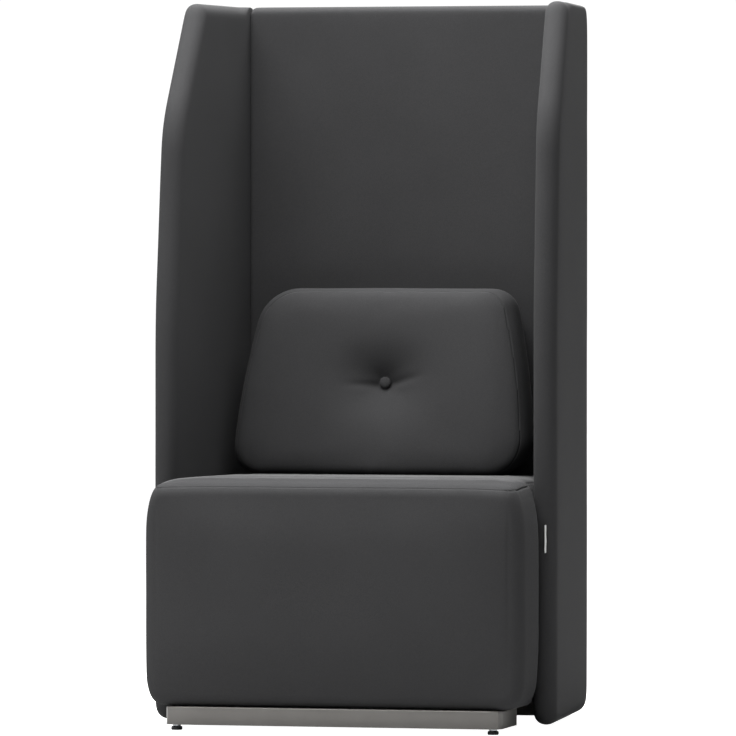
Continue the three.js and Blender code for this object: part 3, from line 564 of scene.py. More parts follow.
# One ring round a shape with rounded corners, moved in by an inset. The ring is cut into four sides at
# the middles of its first four corners, and each side gets its own number of steps.
def roundedRing(corners, inset, counts, arcSteps=12):
    tips = [Vector(corner[:2]) for corner in corners]
    loop, marks = [], []
    for i, corner in enumerate(corners):
        into = (tips[i] - tips[i - 1]).normalized()
        out = (tips[(i + 1) % len(tips)] - tips[i]).normalized()
        inwardA, inwardB = Vector((-into.y, into.x)), Vector((-out.y, out.x))
        turn = math.atan2(into.x * out.y - into.y * out.x, into.dot(out))
        tip = tips[i] + (inwardA + inwardB) * (inset / (1 + inwardA.dot(inwardB)))
        left = max(corner[2] - inset, 0.0006)
        start = tip - into * left * math.tan(turn / 2)
        centre = start + inwardA * left
        for k in range(arcSteps + 1):
            if i < 4 and k == arcSteps // 2:
                marks.append(len(loop))
            loop.append(centre + Matrix.Rotation(turn * k / arcSteps, 2) @ (start - centre))
    return cutRing(loop, marks, counts)


def cutRing(loop, marks, counts):
    ring = []
    for side in range(4):
        first, last = marks[side], marks[(side + 1) % 4]
        line = loop[first:last + 1] if last > first else loop[first:] + loop[:last + 1]
        ring += resampled(line, counts[side])[:-1]
    return ring


# Points that fill a ring: each is drawn between the four sides of the ring
def patchPoints(ring, across, up):
    south = ring[:across + 1]
    east = ring[across:across + up + 1]
    north = ring[across + up:2 * across + up + 1][::-1]
    west = (ring[2 * across + up:] + [ring[0]])[::-1]
    grid = {}
    for i in range(1, across):
        for j in range(1, up):
            u, v = i / across, j / up
            point = south[i] * (1 - v) + north[i] * v + west[j] * (1 - u) + east[j] * u
            point = point - (south[0] * (1 - u) * (1 - v) + south[-1] * u * (1 - v)
                             + north[0] * (1 - u) * v + north[-1] * u * v)
            grid[i, j] = point
    return grid


# Faces between rings of count points each, the first of them at point start
def tubeFaces(rings, count, start=0):
    faces = []
    for r in range(rings - 1):
        for k in range(count):
            a, b = start + r * count + k, start + r * count + (k + 1) % count
            faces.append((a, b, b + count, a + count))
    return faces


# A slice of count points as one face, the first of them at point start
def capFace(count, start=0):
    return tuple(range(start, start + count))


# Points of a quarter circle of radius 1, as distances from the two straight lines that it joins
def quarterRound(steps):
    angles = [math.pi / 2 * k / steps for k in range(steps + 1)]
    return [(1 - math.cos(angle), 1 - math.sin(angle)) for angle in angles]


# Rings from one face of a pad to the other: the depth in the pad, and how far the ring is moved in there
def edgeSlices(thickness, inset, radius, steps):
    slices = [(inset + radius * a, inset + radius * b) for a, b in quarterRound(steps)]
    slices.append((thickness / 2, inset))
    return slices + [(thickness - depth, ring) for depth, ring in slices[-2::-1]]


# The share of its full height that a soft bulge has over a face, for u and v from 0 to 1
def bulgeShare(u, v, flatAcross, flatUp):
    return (1 - abs(2 * u - 1) ** flatAcross) * (1 - abs(2 * v - 1) ** flatUp)


# Both faces of a panel bulge alike
def panelBulge(panel):
    return lambda point, u, v, way: panel["crown"] * bulgeShare(u, v, *panel["flatness"])


# A closed cloth pad from rings, with a filled face at each end; raised(point, u, v, way) lifts the end faces
def padFromRings(name, rings, across, up, axis, raised):
    count = 2 * (across + up)
    points = [p for ring in rings for p in ring]
    faces = tubeFaces(len(rings), count)
    for end, way in ((0, -1), (len(rings) - 1, 1)):
        grid = patchPoints(rings[end], across, up)
        index = {}
        for (i, j), point in grid.items():
            index[i, j] = len(points)
            points.append(point + axis * way * raised(point, i / across, j / up, way))
        for i in range(across + 1):
            index[i, 0] = end * count + i
            index[i, up] = end * count + across + up + (across - i)
        for j in range(1, up):
            index[across, j] = end * count + across + j
            index[0, j] = end * count + 2 * across + up + (up - j)
        for i in range(across):
            for j in range(up):
                faces.append((index[i, j], index[i + 1, j], index[i + 1, j + 1], index[i, j + 1]))
    return newPiece(name, points, faces, "charcoal_cloth")


# Thin cloth: two layers of lines of points, closed round the rim; pointAt(layer, line, point)
def twoLayers(name, lines, each, pointAt, finish):
    points = [pointAt(layer, i, j) for layer in (-1, 1) for i in range(lines) for j in range(each)]
    count = lines * each
    faces = []
    for first in (0, count):
        for i in range(lines - 1):
            for j in range(each - 1):
                a = first + i * each + j
                faces.append((a, a + 1, a + each + 1, a + each))
    rim = [i * each for i in range(lines)] + [(lines - 1) * each + j for j in range(1, each)]
    rim += [i * each + each - 1 for i in range(lines - 2, -1, -1)] + list(range(each - 2, 0, -1))
    for a, b in zip(rim, rim[1:] + rim[:1]):
        faces.append((a, b, b + count, a + count))
    return newPiece(name, points, faces, finish)


# Cloth blown up from inside: points only move outward, no further than the cap, evened rounds take lumps
# out of the moves, and limit keeps the points off neighbours
def plump(piece, pressure, cap, stiffness=15.0, bending=0.5, held=(), limit=None, frames=20, evened=4):
    start = [v.co.copy() for v in piece.data.vertices]
    end = start
    pins = piece.vertex_groups.new(name="held")
    pins.add(list(held), 1.0, "REPLACE")
    cloth = piece.modifiers.new("cloth", "CLOTH")
    settings = cloth.settings
    settings.quality = 5
    settings.mass = 0.3
    settings.use_pressure = True
    settings.uniform_pressure_force = pressure
    settings.tension_stiffness = stiffness
    settings.compression_stiffness = stiffness
    settings.shear_stiffness = stiffness / 3
    settings.bending_stiffness = bending
    settings.effector_weights.gravity = 0
    settings.vertex_group_mass = "held"
    cloth.collision_settings.use_collision = False
    cloth.collision_settings.use_self_collision = False
    cloth.point_cache.frame_start = 1
    cloth.point_cache.frame_end = frames
    scene = bpy.context.scene
    for step in range(1, frames + 1):
        scene.frame_set(step)
    blown = piece.evaluated_get(bpy.context.evaluated_depsgraph_get())
    end = [v.co.copy() for v in blown.data.vertices]
    piece.modifiers.remove(cloth)
    piece.vertex_groups.remove(pins)
    scene.frame_set(1)
    steps = [v.normal * (cap * math.tanh(max(v.normal.dot(b - a), 0.0) / cap))
             for v, a, b in zip(piece.data.vertices, start, end)]
    for vertex, a, step in zip(piece.data.vertices, start, evenedSteps(piece, steps, held, evened)):
        vertex.co = limit(a + step) if limit else a + step
    piece.data.update()


# Each step becomes the mean of itself and its neighbours, round after round
def evenedSteps(piece, steps, held, rounds):
    near = [[] for step in steps]
    for edge in piece.data.edges:
        a, b = edge.vertices
        near[a].append(b)
        near[b].append(a)
    fixed = set(held)
    for k in range(rounds):
        steps = [step if i in fixed
                 else (step + sum((steps[n] for n in near[i]), Vector())) / (1 + len(near[i]))
                 for i, step in enumerate(steps)]
    return steps


def applyModifiers(piece):
    baked = bpy.data.meshes.new_from_object(piece.evaluated_get(bpy.context.evaluated_depsgraph_get()))
    piece.modifiers.clear()
    piece.data = baked


def subdivided(piece, levels=1):
    piece.modifiers.new("finer", "SUBSURF").levels = levels
    applyModifiers(piece)
    smoothed(piece)


sewing = {
    "longestEdge": 0.03,
    "stitchScale": 45.0,
    "stitchShare": 0.35,
    "puckerReach": 0.02,
    "puckerScale": 70,
}


# A sewn seam: three fine cuts along height(point) = 0, the middle one drawn in, with slight puckers beside it
def sewSeam(piece, height, where, width, depth, pucker, seed=0.0):
    work = bmesh.new()
    work.from_mesh(piece.data)
    middle = []
    for level in (-width, width, 0.0):
        cuts = []
        for edge in list(work.edges):
            first, second = edge.verts
            if not (where(first.co) and where(second.co)):
                continue
            a, b = height(first.co) - level, height(second.co) - level
            if a * b < 0 and max(abs(a), abs(b)) < sewing["longestEdge"]:
                cuts.append(bmesh.utils.edge_split(edge, first, a / (a - b))[1])
        bmesh.ops.connect_verts(work, verts=cuts)
        if level == 0.0:
            middle = cuts
    work.normal_update()
    for vertex in middle:
        ripple = noise.noise(vertex.co * sewing["stitchScale"] + Vector((seed, 0, 0)))
        vertex.co -= vertex.normal * depth * (1 + sewing["stitchShare"] * ripple)
    chosen = set(middle)
    reach, scale = sewing["puckerReach"], sewing["puckerScale"]
    for vertex in work.verts:
        if vertex in chosen or not where(vertex.co):
            continue
        off = abs(height(vertex.co))
        if off < reach:
            ripple = noise.noise(Vector((vertex.co.x * scale, vertex.co.y * scale, seed)))
            vertex.co += vertex.normal * pucker * ripple * (1 - off / reach)
    work.to_mesh(piece.data)
    work.free()
    smoothed(piece)


# Wings
wing = {
    "thickness": 0.044,
    "edgeRadius": 0.019,
    "leanStart": 0.745,
    "bendHeight": 1.1,
    "bendSetback": 0.037,
    "topSetback": 0.167,
    "leanRadius": 1.5,
    "bendRadius": 0.25,
    "bottomFrontRadius": 0.03,
    "bottomRearRadius": 0.045,
    "topRearRadius": 0.045,
    "topFrontRadius": 0.021,
    "startInset": 0.0009,
    "crown": 0.0012,
    "cap": 0.0012,
    "innerSquare": (0.392, 0.018, 1.0),  # where it starts, over what depth, how much
    "outerSquare": (0.190, 0.040, 0.6),
    "squareReach": 2.5,
    "flatness": (4, 8),
    "puffOut": 0.0025,
    "across": 34,
    "up": 96,
    "edgeSteps": 5,
}
wingDepth = (chair["rearY"] - chair["wingFrontY"] - wing["thickness"] * math.sin(chair["splay"]))
wingDepth /= math.cos(chair["splay"])


# Takes the rounding out of the top edge from one depth on: beside the back panel no notch may open, and
# the outer edge is tighter than the front one
def squaredTop(p, drop, start, over, amount):
    top = chair["height"] - wing["startInset"]
    near = p.z > top - wing["squareReach"] * drop
    lift = amount * drop * eased(clamped((p.y - start) / over)) if near else 0.0
    return Vector((p.x, p.y, min(p.z + lift, top)))


def makeWing(side, name):
    low, high, inset = chair["floorGap"], chair["height"], wing["startInset"]
    corners = [
        (0, low, wing["bottomFrontRadius"]),
        (wingDepth, low, wing["bottomRearRadius"]),
        (wingDepth, high, wing["topRearRadius"]),
        (wing["topSetback"], high, wing["topFrontRadius"]),
        (wing["bendSetback"], wing["bendHeight"], wing["bendRadius"]),
        (0, wing["leanStart"], wing["leanRadius"]),
    ]
    across, up, thickness = wing["across"], wing["up"], wing["thickness"]
    rings = []
    for x, ringInset in edgeSlices(thickness, inset, wing["edgeRadius"], wing["edgeSteps"]):
        ring = [Vector((x, p.x, p.y)) for p in roundedRing(corners, ringInset, (across, up, across, up))]
        square = wing["innerSquare"] if x < thickness / 2 else wing["outerSquare"]
        rings.append([squaredTop(p, ringInset - inset, *square) for p in ring])

    piece = padFromRings(name, rings, across, up, Vector((1, 0, 0)), panelBulge(wing))

    def limit(p):
        return Vector((clamped(p.x, 0.0, thickness + wing["puffOut"]), p.y, max(p.z, chair["floorGap"])))

    plump(piece, pressure=4.0, cap=wing["cap"], limit=limit)
    subdivided(piece)
    piece.data.transform(wingPlace(side))
    if side < 0:
        piece.data.flip_normals()
    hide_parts(f"{name[:-4].lower()}_wing_cover", f"{name[:-4].lower()}_wing_foam")
    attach(piece, "chair_frame")
    return piece


leftWing = makeWing(-1, "leftWing")
rightWing = makeWing(1, "rightWing")
print("wings padded:", len(rightWing.data.vertices), "points each")


# Back panel
backPanel = {
    "sideGap": 0.0006,
    "edgeRadius": 0.013,
    "cornerRadius": 0.003,
    "startInset": 0.001,
    "crown": 0.002,
    "cap": 0.0015,
    "flatness": (4, 8),
    "puffOut": 0.002,
    "sideCrease": 0.9,
    "creaseReach": 0.002,
    "across": 46,
    "up": 96,
    "edgeSteps": 5,
}


def makeBack():
    low, high, inset = chair["floorGap"], chair["height"], backPanel["startInset"]
    across, up = backPanel["across"], backPanel["up"]
    thickness = chair["rearY"] - chair["backFaceY"]
    rings = []
    for depth, ringInset in edgeSlices(thickness, inset, backPanel["edgeRadius"], backPanel["edgeSteps"]):
        y = chair["backFaceY"] + depth
        half = wingInnerX(y) - backPanel["sideGap"] + ringInset
        corners = rectangle(half, low, high, backPanel["cornerRadius"])
        ring = roundedRing(corners, ringInset, (across, up, across, up))
        rings.append([Vector((p.x, y, p.y)) for p in ring])

    piece = padFromRings("backPad", rings, across, up, Vector((0, 1, 0)), panelBulge(backPanel))

    def limit(p):
        half = wingInnerX(p.y) - backPanel["sideGap"]
        y = clamped(p.y, chair["backFaceY"], chair["rearY"] + backPanel["puffOut"])
        return Vector((clamped(p.x, -half, half), y, max(p.z, chair["floorGap"])))

    plump(piece, pressure=4.0, cap=backPanel["cap"], limit=limit)
    creases = piece.data.attributes.new("crease_edge", "FLOAT", "EDGE")
    reach = backPanel["creaseReach"]
    for edge in piece.data.edges:
        ends = [piece.data.vertices[i].co for i in edge.vertices]
        if all(wingInnerX(p.y) - abs(p.x) < reach and p.y < chair["backFaceY"] + reach for p in ends):
            creases.data[edge.index].value = backPanel["sideCrease"]
    subdivided(piece)
    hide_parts("back_cover", "back_foam")
    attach(piece, "chair_frame")
    return piece


backPad = makeBack()
print("back padded:", len(backPad.data.vertices), "points")


# Seat block; a corner is the width and height of the top corners, then of the bottom ones
seat = {
    "top": 0.450,
    "bottom": 0.0435,
    "crown": 0.004,
    "crownPower": 6,
    "noseHalf": 0.353,
    "noseEnd": -0.1795,
    "shoulder": 0.029,
    "bulge": 0.012,
    "frontRadius": 0.026,
    "rearRadius": 0.010,
    "rearY": 0.262,
    "noseCorner": (0.028, 0.084, 0.027, 0.058),
    "rearCorner": (0.030, 0.040, 0.012, 0.012),
    "sideGap": 0.0006,
    "startInset": 0.002,
    "cap": 0.004,
    "puffOut": 0.002,
    "puffUp": 0.001,
    "flatness": (4, 3),
    "wingsFrom": 0.4,
    "across": 56,
    "up": 34,
    "noseSpacing": 0.0125,
    "bodySpacing": 0.0135,
    "frontSteps": 7,
    "shoulderSteps": 5,
    "rearSteps": 3,
    "cornerSteps": 12,
    "topSteps": 24,
    "seamDrop": 0.0092,
    "seamAbove": 0.40,
    "seamUntil": 0.24,
    "seam": {"width": 0.0018, "depth": 0.0024, "pucker": 0.0007},
}
# How far the stuffed top stands over its own level, by depth
seatSwell = ((-0.30, 0.0), (-0.20, 0.0048), (-0.145, 0.0062), (-0.06, 0.0052), (0.07, 0.0022), (0.26, 0.0012))


def riseAt(y):
    if y <= seatSwell[0][0]:
        return seatSwell[0][1]
    for (a, low), (b, high) in zip(seatSwell, seatSwell[1:]):
        if y <= b:
            return mixed(low, high, eased((y - a) / (b - a)))
    return seatSwell[-1][1]


# Section at one depth
def seatRing(y, half, shrink, corner, counts):
    width, height, footWidth, footHeight = (max(size - shrink, 0.0006) for size in corner)
    half = half - shrink
    low, high = seat["bottom"] + shrink, seat["top"] - seat["crown"] + riseAt(y) - shrink

    def crownAt(x):
        return seat["crown"] * (1 - (x / (half + shrink)) ** seat["crownPower"])

    steps, reach = seat["cornerSteps"], half - width
    rightFoot, rightTop = [], []
    for a, b in quarterRound(steps):
        x = half - width * a
        rightTop.append(Vector((x, high - height * b + crownAt(x))))
        rightFoot.append(Vector((half - footWidth * b, low + footHeight * a)))
    topLine = []
    for k in range(1, seat["topSteps"]):
        x = reach - 2 * reach * k / seat["topSteps"]
        topLine.append(Vector((x, high + crownAt(x))))
    leftFoot, leftTop = ([Vector((-p.x, p.y)) for p in reversed(part)] for part in (rightFoot, rightTop))
    marks, loop = [], []
    for part in (leftFoot, rightFoot, rightTop, topLine, leftTop):
        if part is not topLine:
            marks.append(len(loop) + steps // 2)
        loop += part
    return [Vector((p.x, y, p.y)) for p in cutRing(loop, marks, counts)]


# Even depths from start, which is left out, to stop
def stations(start, stop, spacing):
    steps = round((stop - start) / spacing)
    return [mixed(start, stop, k / steps) for k in range(1, steps + 1)]


def makeSeat():
    inset, across, up = seat["startInset"], seat["across"], seat["up"]
    counts = (across, up, across, up)
    radius, rearRadius = seat["frontRadius"], seat["rearRadius"]
    faceY = chair["frontY"] + seat["bulge"] + inset
    rings = []

    def bodyHalf(y):
        return wingInnerX(y) - seat["sideGap"] + inset

    for a, b in quarterRound(seat["frontSteps"]):
        rings.append(seatRing(faceY + radius * a, seat["noseHalf"], inset + radius * b,
                              seat["noseCorner"], counts))
    stop = seat["noseEnd"] - inset
    for y in stations(faceY + radius, stop, seat["noseSpacing"]):
        rings.append(seatRing(y, seat["noseHalf"], inset, seat["noseCorner"], counts))
    for k in range(1, seat["shoulderSteps"] + 1):
        angle = math.pi / 2 * k / seat["shoulderSteps"]
        y = stop + seat["shoulder"] * math.sin(angle)
        half = mixed(seat["noseHalf"], bodyHalf(y), 1 - math.cos(angle))
        corner = [mixed(a, b, math.sin(angle) ** 2) for a, b in zip(seat["noseCorner"], seat["rearCorner"])]
        rings.append(seatRing(y, half, inset, corner, counts))
    start, stop = stop + seat["shoulder"], seat["rearY"] - rearRadius
    for y in stations(start, stop, seat["bodySpacing"]):
        rings.append(seatRing(y, bodyHalf(y), inset, seat["rearCorner"], counts))
    for k in range(1, seat["rearSteps"] + 1):
        angle = math.pi / 2 * k / seat["rearSteps"]
        y = stop + rearRadius * math.sin(angle)
        shrink = inset + rearRadius * (1 - math.cos(angle))
        rings.append(seatRing(y, bodyHalf(y), shrink, seat["rearCorner"], counts))

    def raised(point, u, v, way):
        return 0.0 if way > 0 else seat["bulge"] * bulgeShare(u, v, *seat["flatness"])

    piece = padFromRings("seatPad", rings, across, up, Vector((0, 1, 0)), raised)

    def limit(p):
        betweenWings = p.y > seat["noseEnd"] + seat["shoulder"] * seat["wingsFrom"]
        half = wingInnerX(p.y) - seat["sideGap"] if betweenWings else seat["noseHalf"] + seat["puffOut"]
        z = clamped(p.z, seat["bottom"], seat["top"] + riseAt(p.y) + seat["puffUp"])
        return Vector((clamped(p.x, -half, half), min(p.y, seat["rearY"]), z))

    plump(piece, pressure=4.0, cap=seat["cap"], limit=limit, evened=12)
    subdivided(piece)

    def seamHeight(p):
        middle = 1 - min(abs(p.x) / seat["noseHalf"], 1.0) ** seat["crownPower"]
        return p.z - (seat["top"] - seat["crown"] - seat["seamDrop"] + seat["crown"] * middle + riseAt(p.y))

    sewSeam(piece, seamHeight, lambda p: p.z > seat["seamAbove"] and p.y < seat["seamUntil"], **seat["seam"])
    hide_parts("seat_cover", "seat_foam")
    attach(piece, "chair_frame")
    return piece


seatPad = makeSeat()
print("seat padded:", len(seatPad.data.vertices), "points")


# Loose back cushion, made upright round its own middle and then leant back
cushion = {
    "bottomHalf": 0.285,
    "topHalf": 0.2355,
    "sideBulge": 0.010,
    "height": 0.3485,
    "sagFrom": 0.02,
    "sagShare": 1.5,
    "halfThickness": 0.0625,
    "cornerRadii": (0.048, 0.058, 0.037, 0.070),
    "puffTop": 13.0,
    "puffBottom": 24.0,
    "tuftX": 0.005,
    "tuftZ": -0.008,
    "tuftFlat": 0.011,
    "tuftPower": 1.15,
    "tuftHeld": 0.013,
    "faceFrom": 0.02,
    "creaseDrop": 0.0055,
    "creaseStart": 0.004,
    "creaseRamp": 0.012,
    "creaseFade": 1.2,
    "creaseRidge": 0.35,
    "ridgeWidth": 2.2,
    "tuftFront": 0.0295,
    "tuftRear": 0.0185,
    "tuftWidthUp": 0.031,
    "tuftWidthDown": 0.046,
    "tuftWidthSide": 0.047,
    "lean": math.radians(12),
    "offset": -0.0125,
    "cap": 0.004,
    "settle": 0.004,
    "footBand": 0.05,
    "footGap": 0.0005,
    "seamY": 0.049,
    "seamBeyond": (0.19, 0.13),
    "seam": {"width": 0.0022, "depth": 0.0022, "pucker": 0.0008, "seed": 5.0},
    "across": 52,
    "up": 32,
    "ringShares": (1.0, 0.997, 0.99, 0.98, 0.965, 0.945, 0.92, 0.885),
}
# Creases that run out from the button: direction in degrees, length, width and depth
cushionCreases = ((181, 0.085, 0.008, 0.006), (12, 0.085, 0.008, 0.006), (205, 0.055, 0.009, 0.0022),
                  (-26, 0.055, 0.009, 0.0022), (60, 0.040, 0.008, 0.0020), (121, 0.042, 0.008, 0.0022))


# How far the tuft draws a face in
def tuftAt(x, z, depth):
    x, z = x - cushion["tuftX"], z - cushion["tuftZ"]
    width = cushion["tuftWidthUp"] if z > 0 else cushion["tuftWidthDown"]
    far = math.hypot(x / cushion["tuftWidthSide"], z / width)
    flat = cushion["tuftFlat"] / cushion["tuftWidthSide"]
    return depth * math.exp(-max(far - flat, 0.0) ** cushion["tuftPower"])


# Each crease is a furrow with a low ridge along either side
def creaseAt(x, z):
    total, start = 0.0, cushion["creaseStart"]
    x, z = x - cushion["tuftX"], z - cushion["tuftZ"] + cushion["creaseDrop"]
    for direction, length, width, depth in cushionCreases:
        way = math.radians(direction)
        along = x * math.cos(way) + z * math.sin(way)
        off = abs(z * math.cos(way) - x * math.sin(way))
        if along > start:
            fade = max(1 - along / length, 0.0) ** cushion["creaseFade"]
            fade *= min((along - start) / cushion["creaseRamp"], 1.0)
            ridge = cushion["creaseRidge"] * math.exp(-(off / width / cushion["ridgeWidth"]) ** 2)
            total += depth * fade * (math.exp(-(off / width) ** 2) - ridge)
    return total


# The leaning cushion's own weight makes its foot level, so that the front edge rests on the seat too
def sagAt(y, z):
    share = clamped((-z - cushion["sagFrom"]) / (cushion["height"] / 2 - 2 * cushion["sagFrom"]))
    return y * math.tan(cushion["lean"]) * cushion["sagShare"] * eased(share)


def makeCushion():
    across, up = cushion["across"], cushion["up"]
    half = cushion["height"] / 2
    tips = ((-cushion["bottomHalf"], -half), (cushion["bottomHalf"], -half),
            (cushion["topHalf"], half), (-cushion["topHalf"], half))
    corners = [(*tip, radius) for tip, radius in zip(tips, cushion["cornerRadii"])]
    outline = [Vector((p.x + math.copysign(cushion["sideBulge"], p.x) * (1 - (p.y / half) ** 2)
                       * min(abs(p.x) / cushion["topHalf"], 1.0) ** 2, p.y))
               for p in roundedRing(corners, 0.0, (across, up, across, up))]

    def puff(share, z):
        power = mixed(cushion["puffBottom"], cushion["puffTop"], clamped((z / half + 1) / 2))
        return cushion["halfThickness"] * math.sqrt(max(1 - share ** power, 0.0))

    shares = cushion["ringShares"]
    front = [[Vector((p.x * share, -puff(share, p.y), p.y * share)) for p in outline]
             for share in shares[:0:-1]]
    rear = [[Vector((p.x, -p.y, p.z)) for p in ring] for ring in reversed(front)]
    rings = front + [[Vector((p.x, 0, p.y)) for p in outline]] + rear
    inner = shares[-1]

    # How far out the outline is in each direction, sorted, with a turn more at either end
    turns = sorted((math.atan2(p.y, p.x), p.length) for p in outline)
    turns = [(turns[-1][0] - 2 * math.pi, turns[-1][1])] + turns + [(turns[0][0] + 2 * math.pi, turns[0][1])]

    def reachAt(turn):
        k = bisect.bisect_right(turns, (turn, 0.0))
        (a, near), (b, far) = turns[k - 1], turns[k]
        return mixed(near, far, (turn - a) / max(b - a, 1e-9))

    def raised(point, u, v, way):
        share = min(math.hypot(point.x, point.z) / reachAt(math.atan2(point.z, point.x)), inner)
        return puff(share, point.z) - puff(inner, point.z)

    piece = padFromRings("backCushion", rings, across, up, Vector((0, 1, 0)), raised)
    for vertex in piece.data.vertices:
        x, y, z = vertex.co
        if y < -cushion["faceFrom"]:
            vertex.co.y += tuftAt(x, z, cushion["tuftFront"])
        elif y > cushion["faceFrom"]:
            vertex.co.y -= tuftAt(x, z, cushion["tuftRear"])
    held = [v.index for v in piece.data.vertices if abs(v.co.y) < 1e-6
            or math.hypot(v.co.x - cushion["tuftX"], v.co.z - cushion["tuftZ"]) < cushion["tuftHeld"]]
    plump(piece, pressure=5.0, cap=cushion["cap"], stiffness=10.0, bending=0.5, held=held, evened=3)
    subdivided(piece, 2)
    for vertex in piece.data.vertices:
        if vertex.co.y < 0:
            vertex.co.y += creaseAt(vertex.co.x, vertex.co.z)
    beyondX, beyondZ = cushion["seamBeyond"]
    for side in (-1, 1):
        sewSeam(piece, lambda p: p.y - side * cushion["seamY"],
                lambda p: abs(p.x) > beyondX or abs(p.z) > beyondZ, **cushion["seam"])
    for vertex in piece.data.vertices:
        vertex.co.z += sagAt(vertex.co.y, vertex.co.z)
    return piece


# Leans the cushion against the back, sets it on the seat, and flattens it where it rests
def settleCushion(piece):
    seatTree = BVHTree.FromObject(seatPad, bpy.context.evaluated_depsgraph_get())

    def seatTopUnder(x, y):
        hit = seatTree.ray_cast(Vector((x, y, chair["height"])), Vector((0, 0, -1)))[0]
        return hit.z if hit else 0.0

    lean = Matrix.Rotation(-cushion["lean"], 4, "X")
    low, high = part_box("back_cushion_cover")
    piece.data.transform(lean)
    points = [v.co for v in piece.data.vertices]
    shift = Vector((cushion["offset"], high[1] - max(p.y for p in points) + cushion["settle"] / 2, 0))
    lowest = max(seatTopUnder(p.x + shift.x, p.y + shift.y) - p.z for p in points if p.z < 0)
    shift.z = lowest - cushion["settle"]
    piece.data.transform(Matrix.Translation(shift))
    for vertex in piece.data.vertices:
        x, y, z = vertex.co
        y = min(y, high[1])
        if z < low[2] + cushion["footBand"]:
            z = max(z, seatTopUnder(x, y) + cushion["footGap"])
        vertex.co = (x, y, z)
    piece.data.update()
    return Matrix.Translation(shift) @ lean


backCushion = makeCushion()
cushionPlace = settleCushion(backCushion)
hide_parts("back_cushion_cover", "back_cushion_filling", "tuft_cord")
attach(backCushion, "back_cushion")
print("cushion stuffed:", len(backCushion.data.vertices), "points")


# Meshes of revolution, from a profile of (radius, height)
def turnedPoints(profile, sides, shape=None):
    points = []
    for radius, height in profile:
        for k in range(sides):
            angle = 2 * math.pi * k / sides
            grow = shape(angle, radius, height) if shape else 0.0
            out = radius + grow
            points.append(Vector((out * math.cos(angle), out * math.sin(angle), height)))
    faces = tubeFaces(len(profile), sides)
    return points, faces + [capFace(sides)[::-1], capFace(sides, (len(profile) - 1) * sides)]


def sharpened(piece, degrees):
    piece.data.set_sharp_from_angle(angle=math.radians(degrees))
    return piece


# Cloth buttons, gathered into small pleats at the rim
button = {
    "radius": 0.011,
    "height": 0.008,
    "flange": 0.0032,
    "rim": ((0.0025, 0.0), (0.0006, 0.0008), (0.0, 0.0019)),  # inward from the radius, and up
    "pole": 0.0004,
    "sides": 66,
    "domeSteps": 12,
    "pleats": 11,
    "pleatFrom": 0.55,
    "pleatDepth": 0.00035,
    "frontSeat": -0.0335,
    "rearSeat": 0.0443,
}


def makeButton(name, side, node):
    radius, flange, steps = button["radius"], button["flange"], button["domeSteps"]
    profile = [(radius - inward, height) for inward, height in button["rim"]]
    for k in range(steps):
        angle = math.pi / 2 * k / steps
        profile.append((radius * math.cos(angle), mixed(flange, button["height"], math.sin(angle))))
    profile.append((button["pole"], button["height"]))

    # The pleats are a little uneven round the button
    def pleat(angle, out, height):
        share = max(out / radius - button["pleatFrom"], 0.0) / (1 - button["pleatFrom"])
        return button["pleatDepth"] * share * math.sin(button["pleats"] * angle + 1.3 * math.sin(2 * angle))

    points, faces = turnedPoints(profile, button["sides"], pleat)
    seatY = button["frontSeat"] if side < 0 else button["rearSeat"]
    seated = Matrix.Translation((cushion["tuftX"], seatY, cushion["tuftZ"]))
    seated = cushionPlace @ seated @ Matrix.Rotation(-side * math.pi / 2, 4, "X")
    piece = newPiece(name, moved(points, seated), faces, "charcoal_cloth")
    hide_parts(node)
    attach(piece, "back_cushion")


makeButton("frontButton", -1, "front_button")
makeButton("rearButton", 1, "rear_button")


# Base beams: folded steel trays, open below
beam = {
    "depth": 0.150,
    "bottom": 0.0105,
    "top": 0.043,
    "wall": 0.0025,
    "cornerRadius": 0.018,
    "topRadius": 0.0022,
    "topSteps": 5,
    "foldInside": ((0.0012, 0.0), (0.0003, 0.0004), (0.0, 0.0015)),  # inward from the wall, and down
    "lipRadius": 0.0007,
    "lipShare": 0.6,
    "ringCounts": (24, 12, 24, 12),
    "frontLength": 0.624,
    "frontY": -0.2265,
    "rearY": 0.1835,
    "rearSideGap": 0.003,
}


def makeBeam(name, length, middleY, node):
    deep = beam["depth"] / 2
    corners = rectangle(length / 2, -deep, deep, beam["cornerRadius"])
    low, high, wall, lip = beam["bottom"], beam["top"], beam["wall"], beam["lipRadius"]
    turned = lip * beam["lipShare"]
    levels = [(wall + inward, high - wall - down) for inward, down in beam["foldInside"]]
    levels += [(wall, low + lip), (wall - turned, low), (turned, low), (0.0, low + lip)]
    fold = beam["topRadius"]
    levels += [(fold * a, high - fold * b) for a, b in quarterRound(beam["topSteps"])]
    points = []
    for inset, z in levels:
        ring = roundedRing(corners, inset, beam["ringCounts"], arcSteps=16)
        points += [Vector((p.x, p.y + middleY, z)) for p in ring]
    count = len(points) // len(levels)
    faces = tubeFaces(len(levels), count) + [capFace(count), capFace(count, (len(levels) - 1) * count)]
    piece = sharpened(newPiece(name, points, faces, "warm_grey_paint"), 40)
    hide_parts(node)
    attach(piece, "chair_frame")


rearBeamLength = 2 * (wingInnerX(beam["rearY"] + beam["depth"] / 2) - beam["rearSideGap"])
makeBeam("frontBeam", beam["frontLength"], beam["frontY"], "front_base_beam")
makeBeam("rearBeam", rearBeamLength, beam["rearY"], "rear_base_beam")
print("beams folded")


